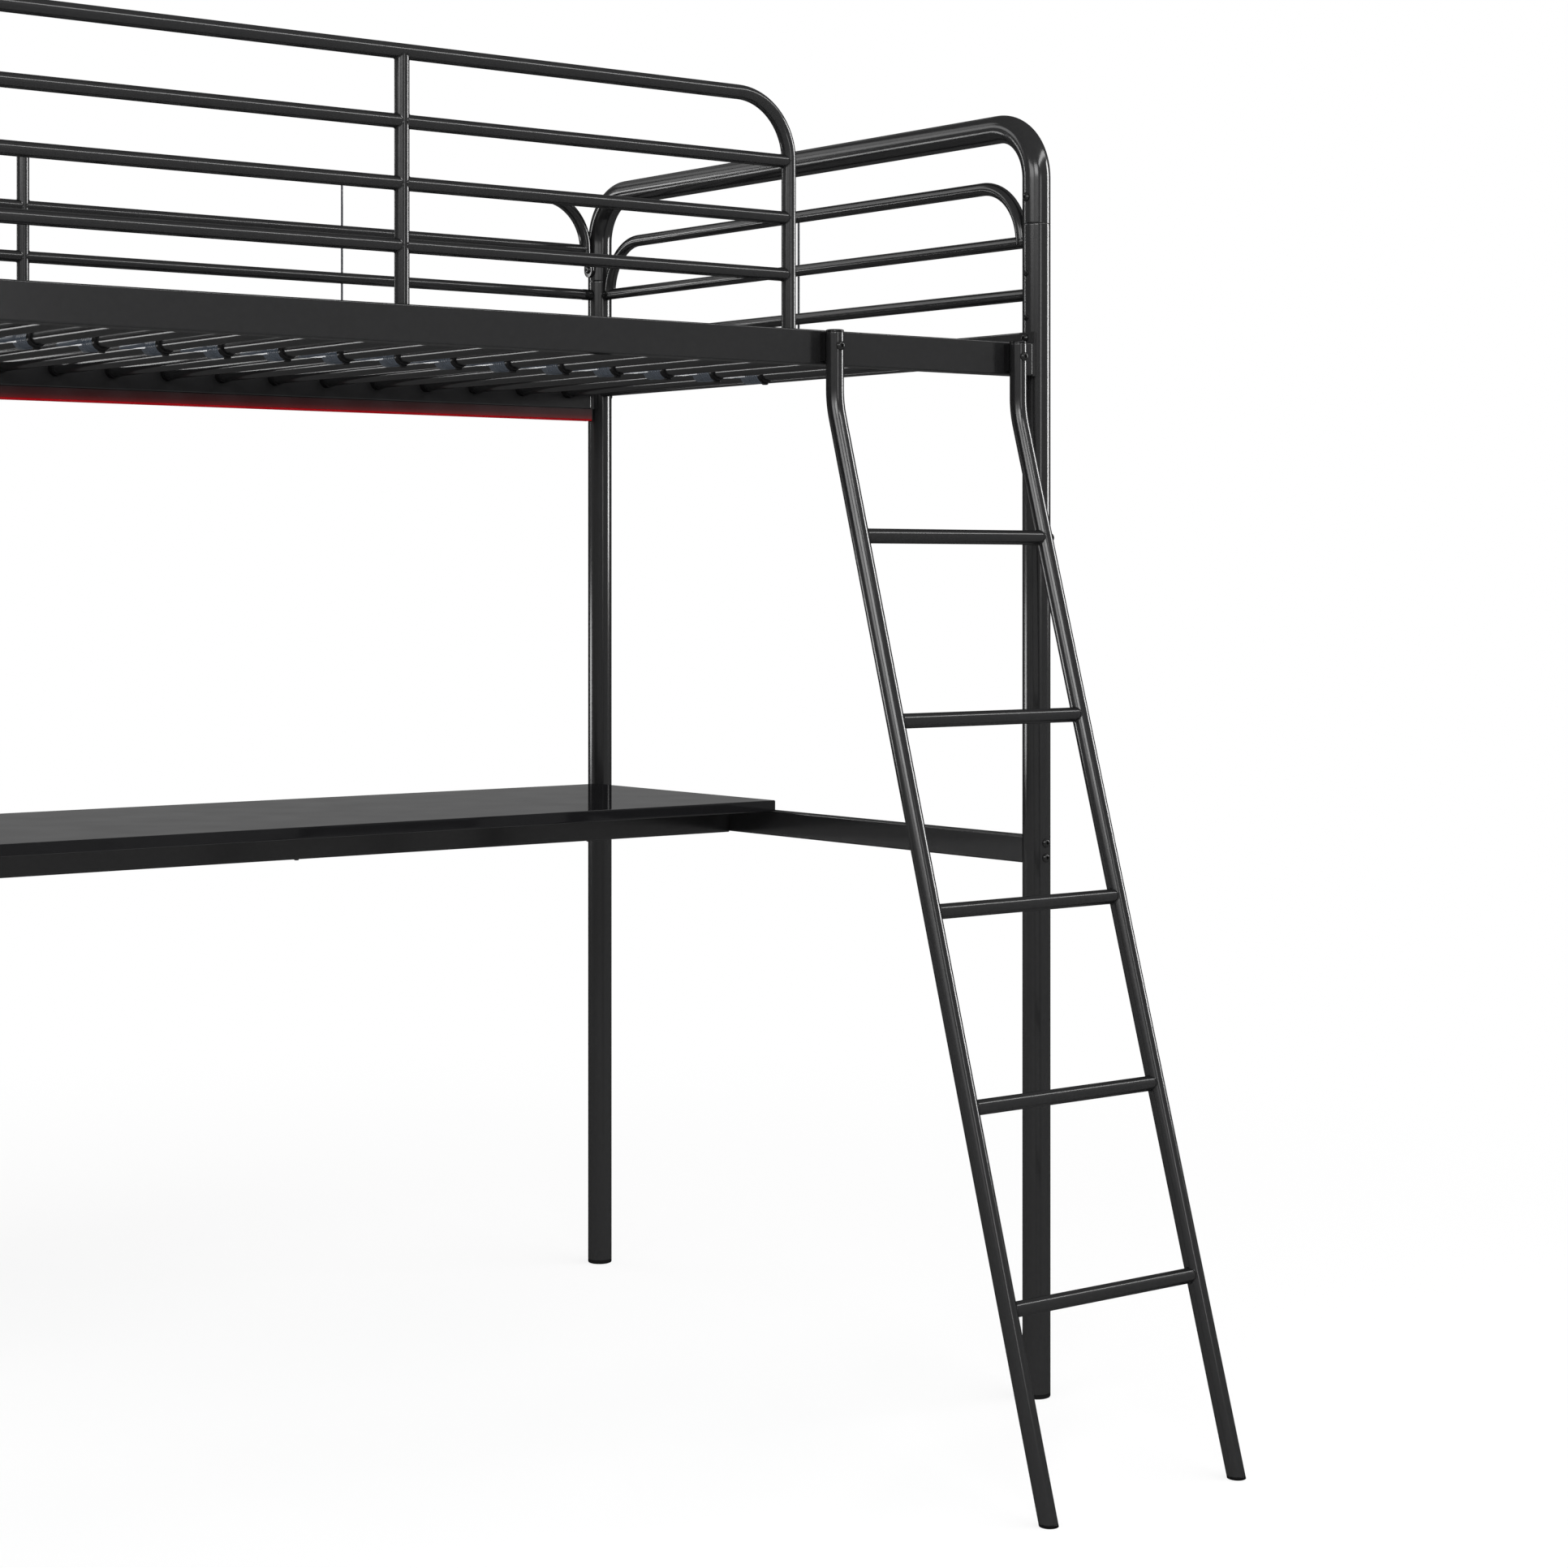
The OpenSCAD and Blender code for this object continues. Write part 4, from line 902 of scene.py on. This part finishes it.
class LOFTBED_OT_desk(bpy.types.Operator):
    """Builds the desk top, its beams and its end rails"""

    bl_idname = "loft_bed.desk"
    bl_label = "Desk"

    def execute(self, context):
        width, depth = (2 * half_size("desk_top", axis) for axis in (0, 1))
        corner, into_post = 0.002, 0.004
        shape = Shape()
        board = box_section(width, depth, corner, 4)
        add_bar(shape, box_line("desk_top", 2), Y, board, corner, edge=0.0009)
        make_piece("desk_board", shape, "desk_board", ["desk_top"])
        for row in ROWS:
            rail_piece(f"desk_beam_{row}", 0)
        for side in SIDES:
            node = f"desk_end_rail_{side}"
            low, high = extent(node)
            rail_piece(node, 1, low[1] - into_post, high[1] + into_post)
        dress("desk_rail_plugs", "black_plastic")
        return {"FINISHED"}


# ---- Light bar ----


class LOFTBED_OT_light_bar(bpy.types.Operator):
    """Builds the light bar under the back side rail"""

    bl_idname = "loft_bed.light_bar"
    bl_label = "Light bar"

    def execute(self, context):
        low, high = extent("light_channel")
        wall, channel_low = 0.0014, low[2]
        outline = [[low[1] + wall, low[2]], [low[1] + wall, high[2] - wall]]
        outline += [[high[1] - wall, high[2] - wall], [high[1] - wall, low[2]]]
        outline += [[high[1], low[2]], [high[1], high[2]], [low[1], high[2]], [low[1], low[2]]]
        shape = Shape()
        shape.add(prism(outline, 0, low[0], high[0]))
        # The housing shows the light strip's red glow painted on it, strongest at its foot.
        make_piece("light_housing", shape, "painted_glow_channel", ["light_channel"])
        low, high = extent("light_diffuser")
        corner, y, z = 0.001, (low[1] + high[1]) / 2, (low[2] + channel_low) / 2
        section = box_section(high[1] - low[1], channel_low - low[2], corner, 4)
        shape = Shape()
        add_bar(shape, line((low[0], y, z), (high[0], y, z)), Z, section, corner)
        make_piece("light_strip", shape, "light_red", ["light_diffuser"])
        dress("light_end_caps", "black_plastic")
        dress("light_screws", "bolt_steel")
        return {"FINISHED"}


# ---- Fasteners ----


HEAD_R = 0.006
HEAD_H = 0.0033
SHANK_R = 0.003
BRACKET_T = 0.0025  # thickness of the brackets' plate
# Lengths of the shanks
SHANKS = {
    "joint": 0.018, "bracket": 0.018, "rail": 0.05, "ladder": 0.034, "rung": 0.037,
    "desk_post": 0.055, "desk_beam": 0.038,
}


def bolt(axis, kind):
    """Button-head bolt along axis: shank, rim, a dome that falls as a sine to a flat, and a
    hexagonal socket in it. Its origin is where the head sits on its seat."""
    socket_r, socket_floor, rim_h, flat_r = 0.0023, 0.4 * HEAD_H, 0.0008, 0.0030
    share = np.linspace(0, 1, 7)
    radius = HEAD_R + (flat_r - HEAD_R) * share
    rise = rim_h + (HEAD_H - rim_h) * np.sin(share * math.pi / 2)
    shank = [[-SHANKS[kind], SHANK_R], [0, SHANK_R], [0, HEAD_R]]
    profile = [*shank, *np.column_stack([rise, radius]), [HEAD_H, socket_r], [socket_floor, socket_r]]
    hexed = [0] * (len(profile) - 2) + [1, 1]
    return turned(profile, axis, 24, hexed)


class LOFTBED_OT_fasteners(bpy.types.Operator):
    """Builds the bolts and screws that show and dresses the hidden ones"""

    bl_idname = "loft_bed.fasteners"
    bl_label = "Fasteners"

    def execute(self, context):
        sets = {**self.post_bolts(), "ladder": self.ladder_bolts(), **self.desk_bolts()}
        for name, bolts in sets.items():
            shape = Shape()
            for grid, place in bolts:
                shape.add(grid, at=[place])
            make_piece(f"{name}_bolt_set", shape, "bolt_steel", [f"{name}_bolts"])
        dress("desk_screws", "bolt_steel")
        dress("rail_nuts", "bolt_steel")
        return {"FINISHED"}

    def post_bolts(self):
        """Bolts in the posts that hold the guards or an arch, the brackets and the side rails."""
        low, high = extent("joint_bolts")
        bracket_z, rail_z = middle("bracket_bolts")[2], middle("rail_bolts")[2]
        bracket_seat = POST_R + BRACKET_T
        joint, bracket, rail = [], [], []
        for side, row in CORNERS:
            post, out = post_centre(side, row), SIDES[side] * X
            seat, z = POST_R, high[2] - HEAD_R
            if (side, row) in GUARD_ENDS:
                seat, z = POST_R + TAB_T, low[2] + HEAD_R
            joint.append((bolt(-out, "joint"), post - out * seat + Z * z))
            bracket.append((bolt(-out, "bracket"), post - out * bracket_seat + Z * bracket_z))
            rail.append((bolt(out, "rail"), post + out * POST_R + Z * rail_z))
        return {"joint": joint, "bracket": bracket, "rail": rail}

    def ladder_bolts(self):
        """Bolts through the tops of the ladder rails, and one into the top rung's end."""
        rail_r = half_size("ladder_rail_left", 0)
        y, z = extent("ladder_rail_left")[1][1] - 2 * rail_r, extent("ladder_bolts")[1][2] - HEAD_R
        bolts = [(bolt(-Y, "ladder"), (middle(f"ladder_rail_{side}")[0], y, z)) for side in SIDES]
        rail_face = middle("ladder_rail_right")[0] + rail_r
        rung = extent("ladder_rungs")[1][1:] - RUNG_R
        bolts.append((bolt(X, "rung"), (rail_face, *rung)))
        return bolts

    def desk_bolts(self):
        """Bolts through the posts into the end rails, and through those into the beams."""
        low, high = extent("desk_post_bolts")
        heights = (low[2] + HEAD_R, high[2] - HEAD_R)
        in_posts, in_beams = [], []
        for side, row in CORNERS:
            out = ROWS[row] * Y
            for place in on_post(side, row, out, heights):
                in_posts.append((bolt(out, "desk_post"), place))
        for side, sign in SIDES.items():
            face = extent(f"desk_end_rail_{side}")[1 if sign > 0 else 0][0]
            for row in ROWS:
                place = (face, *middle(f"desk_beam_{row}")[1:])
                in_beams.append((bolt(sign * X, "desk_beam"), place))
        return {"desk_post": in_posts, "desk_beam": in_beams}


# ---- Stage ----


class LOFTBED_OT_stage(bpy.types.Operator):
    """Builds the floor, the lamps, the world and the camera"""

    bl_idname = "loft_bed.stage"
    bl_label = "Stage"

    def execute(self, context):
        self.floor()
        self.world(context)
        self.lamps()
        self.camera(context)
        context.scene.view_settings.view_transform = "Standard"
        return {"FINISHED"}

    def floor(self):
        """Disc with rings at radius r = R s^2, a little under the feet."""
        reach, drop = 30, 0.0005
        s = np.linspace(0.02, 1, 24)[:, None]
        t = (np.arange(96) / 96 * 2 * math.pi)[None]
        r = reach * s * s
        grid = np.stack([r * np.cos(t), r * np.sin(t), 0 * r * t - drop], -1)
        shape = Shape()
        shape.add(grid)
        shape.caps = shape.caps[:1]
        mesh = shape.mesh("studio_floor", math.pi)
        floor = bpy.data.objects.new("studio_floor", mesh)
        bpy.context.scene.collection.objects.link(floor)
        mesh.materials.append(self.floor_material())

    def floor_material(self):
        """Pale floor with the object's shadow; seen by the camera or in gloss, it fades to
        plain white with the distance from the object."""
        material = bpy.data.materials.new("pale_floor")
        material.use_nodes = True
        tree = material.node_tree
        paint, white = tree.nodes["Principled BSDF"], add_node(tree, "Emission")
        fill(paint, (*colours().floor, 1), Roughness=0.9, Specular_IOR_Level=0.1)
        far = add_node(tree, "VectorMath")
        far.operation = "LENGTH"
        fill(far, add_node(tree, "TexCoord").outputs["Object"])
        fade = add_node(tree, "MapRange", far.outputs["Value"], From_Min=0.5, From_Max=3.5, To_Min=0.8)
        fade.interpolation_type = "SMOOTHSTEP"
        share = maths(tree, "MULTIPLY", fade.outputs["Result"], self.seen_directly(tree))
        self.mix(tree, share, paint, white, "Material Output")
        return material

    def seen_directly(self, tree):
        """1 for rays from the camera and for those seen in gloss or through glass, else 0."""
        path = add_node(tree, "LightPath").outputs
        total = path["Is Camera Ray"]
        for label in ("Is Glossy Ray", "Is Transmission Ray"):
            total = maths(tree, "MAXIMUM", total, path[label])
        return total

    def mix(self, tree, share, first, second, output):
        """Sends a mix of two shaders, the second by its share, to a node tree's output."""
        blend = add_node(tree, "MixShader", share, first.outputs[0], second.outputs[0])
        fill(tree.nodes[output], blend.outputs[0])

    def world(self, context):
        """Weak white light from all round, behind a plain white background."""
        world = bpy.data.worlds.new("studio")
        context.scene.world = world
        world.use_nodes = True
        tree, colour = world.node_tree, (1, 1, 1, 1)
        light, white = tree.nodes["Background"], add_node(tree, "Background", colour, 1.0)
        fill(light, colour, 0.35)
        self.mix(tree, self.seen_directly(tree), light, white, "World Output")

    def lamps(self):
        """Softboxes: name, middle, point they face, width, height, strength and whether they
        light matt surfaces too or only show in gloss. A strength of 1 is as bright as the white
        surround: a lamp's power is pi times its area times its strength."""
        lamps = (
            ("long_overhead_box", (2.35, -3.0, 3.9), (0.3, 0.0, 1.4), 6.4, 0.5, 22, True),
            ("front_box", (-2.2, -3.9, 3.2), (0.6, -0.2, 1.0), 2.2, 1.2, 17, True),
            ("left_front_box", (-4.6, -1.2, 3.0), (0.6, -0.2, 1.0), 3.4, 1.2, 9, True),
            ("wide_front_panel", (-4.2, -3.5, 3.0), (0.9, -0.3, 1.6), 8.0, 1.7, 2.5, False),
            ("front_strip", (0.6, -4.1, 1.75), (0.8, -0.5, 1.0), 0.5, 1.3, 9.5, False),
            ("right_strip", (5.6, -2.0, 2.4), (0.6, 0.0, 1.6), 1.4, 2.5, 62, False),
            ("back_left_panel", (-1.75, 3.1, 3.1), (0.9, 0.1, 1.6), 2.4, 1.0, 7.5, False),
            ("back_post_strip", (-0.9, 3.1, 1.9), (1.0, -0.3, 1.6), 0.4, 0.65, 30, False),
            ("low_left_strip", (-1.9, 3.4, 0.8), (0.7, 0.1, 1.4), 1.8, 0.45, 26, False),
            ("high_back_box", (-0.3, 3.2, 3.9), (0.9, 0.1, 1.6), 2.2, 0.8, 5.0, True),
            ("back_right_panel", (2.3, 3.6, 3.7), (0.9, 0.1, 1.6), 3.0, 1.4, 2.4, False),
        )
        for name, place, target, width, height, strength, matt in lamps:
            data = bpy.data.lights.new(name, "AREA")
            data.shape, data.size, data.size_y = "RECTANGLE", width, height
            data.energy = math.pi * width * height * strength
            lamp = bpy.data.objects.new(name, data)
            back = (Vector(place) - Vector(target)).normalized()
            side = Vector((0, 0, 1)).cross(back).normalized()
            turn = Matrix((side, back.cross(side), back)).transposed()
            lamp.matrix_world = Matrix.Translation(place) @ turn.to_4x4()
            lamp.visible_diffuse = matt
            bpy.context.scene.collection.objects.link(lamp)

    def camera(self, context):
        """Level camera, shifted so that upright edges stay upright."""
        data = bpy.data.cameras.new("camera")
        data.lens, data.sensor_width = 70.97, 36.0
        data.shift_y = -0.1328
        data.clip_end = 100
        camera = bpy.data.objects.new("camera", data)
        ahead = Vector((0.6154, 0.7883, 0.0)).normalized()
        right = ahead.cross(Vector((0, 0, 1)))
        axes = Matrix((right, Vector((0, 0, 1)), -ahead)).transposed()
        camera.matrix_world = Matrix.Translation((-1.8528, -3.4012, 1.112)) @ axes.to_4x4()
        context.scene.collection.objects.link(camera)
        context.scene.camera = camera


# ---- Add-on ----


class LOFTBED_PT_panel(bpy.types.Panel):
    """Lists the pieces of the loft bed"""

    bl_idname = "LOFTBED_PT_panel"
    bl_label = "Loft bed"
    bl_space_type = "VIEW_3D"
    bl_region_type = "UI"
    bl_category = "Loft bed"

    def draw(self, context):
        for settings in (context.scene.loft_bed_sizes, context.scene.loft_bed_colours):
            box = self.layout.box()
            for name in settings.__annotations__:
                box.prop(settings, name)
        for operator in OPERATORS:
            self.layout.operator(operator.bl_idname)


OPERATORS = (
    LOFTBED_OT_stage,
    LOFTBED_OT_posts,
    LOFTBED_OT_end_frames,
    LOFTBED_OT_side_rails,
    LOFTBED_OT_slats,
    LOFTBED_OT_guards,
    LOFTBED_OT_ladder,
    LOFTBED_OT_desk,
    LOFTBED_OT_light_bar,
    LOFTBED_OT_fasteners,
)
CLASSES = (LoftBedSizes, LoftBedColours, *OPERATORS, LOFTBED_PT_panel)


def register():
    """Registers the classes and the settings."""
    for cls in CLASSES:
        bpy.utils.register_class(cls)
    bpy.types.Scene.loft_bed_sizes = bpy.props.PointerProperty(type=LoftBedSizes)
    bpy.types.Scene.loft_bed_colours = bpy.props.PointerProperty(type=LoftBedColours)


def unregister():
    """Takes the settings and the classes away again."""
    del bpy.types.Scene.loft_bed_colours
    del bpy.types.Scene.loft_bed_sizes
    for cls in reversed(CLASSES):
        bpy.utils.unregister_class(cls)


def main():
    """Runs every operator."""
    register()
    for operator in OPERATORS:
        group, name = operator.bl_idname.split(".")
        getattr(getattr(bpy.ops, group), name)()


if __name__ == "__main__":
    main()
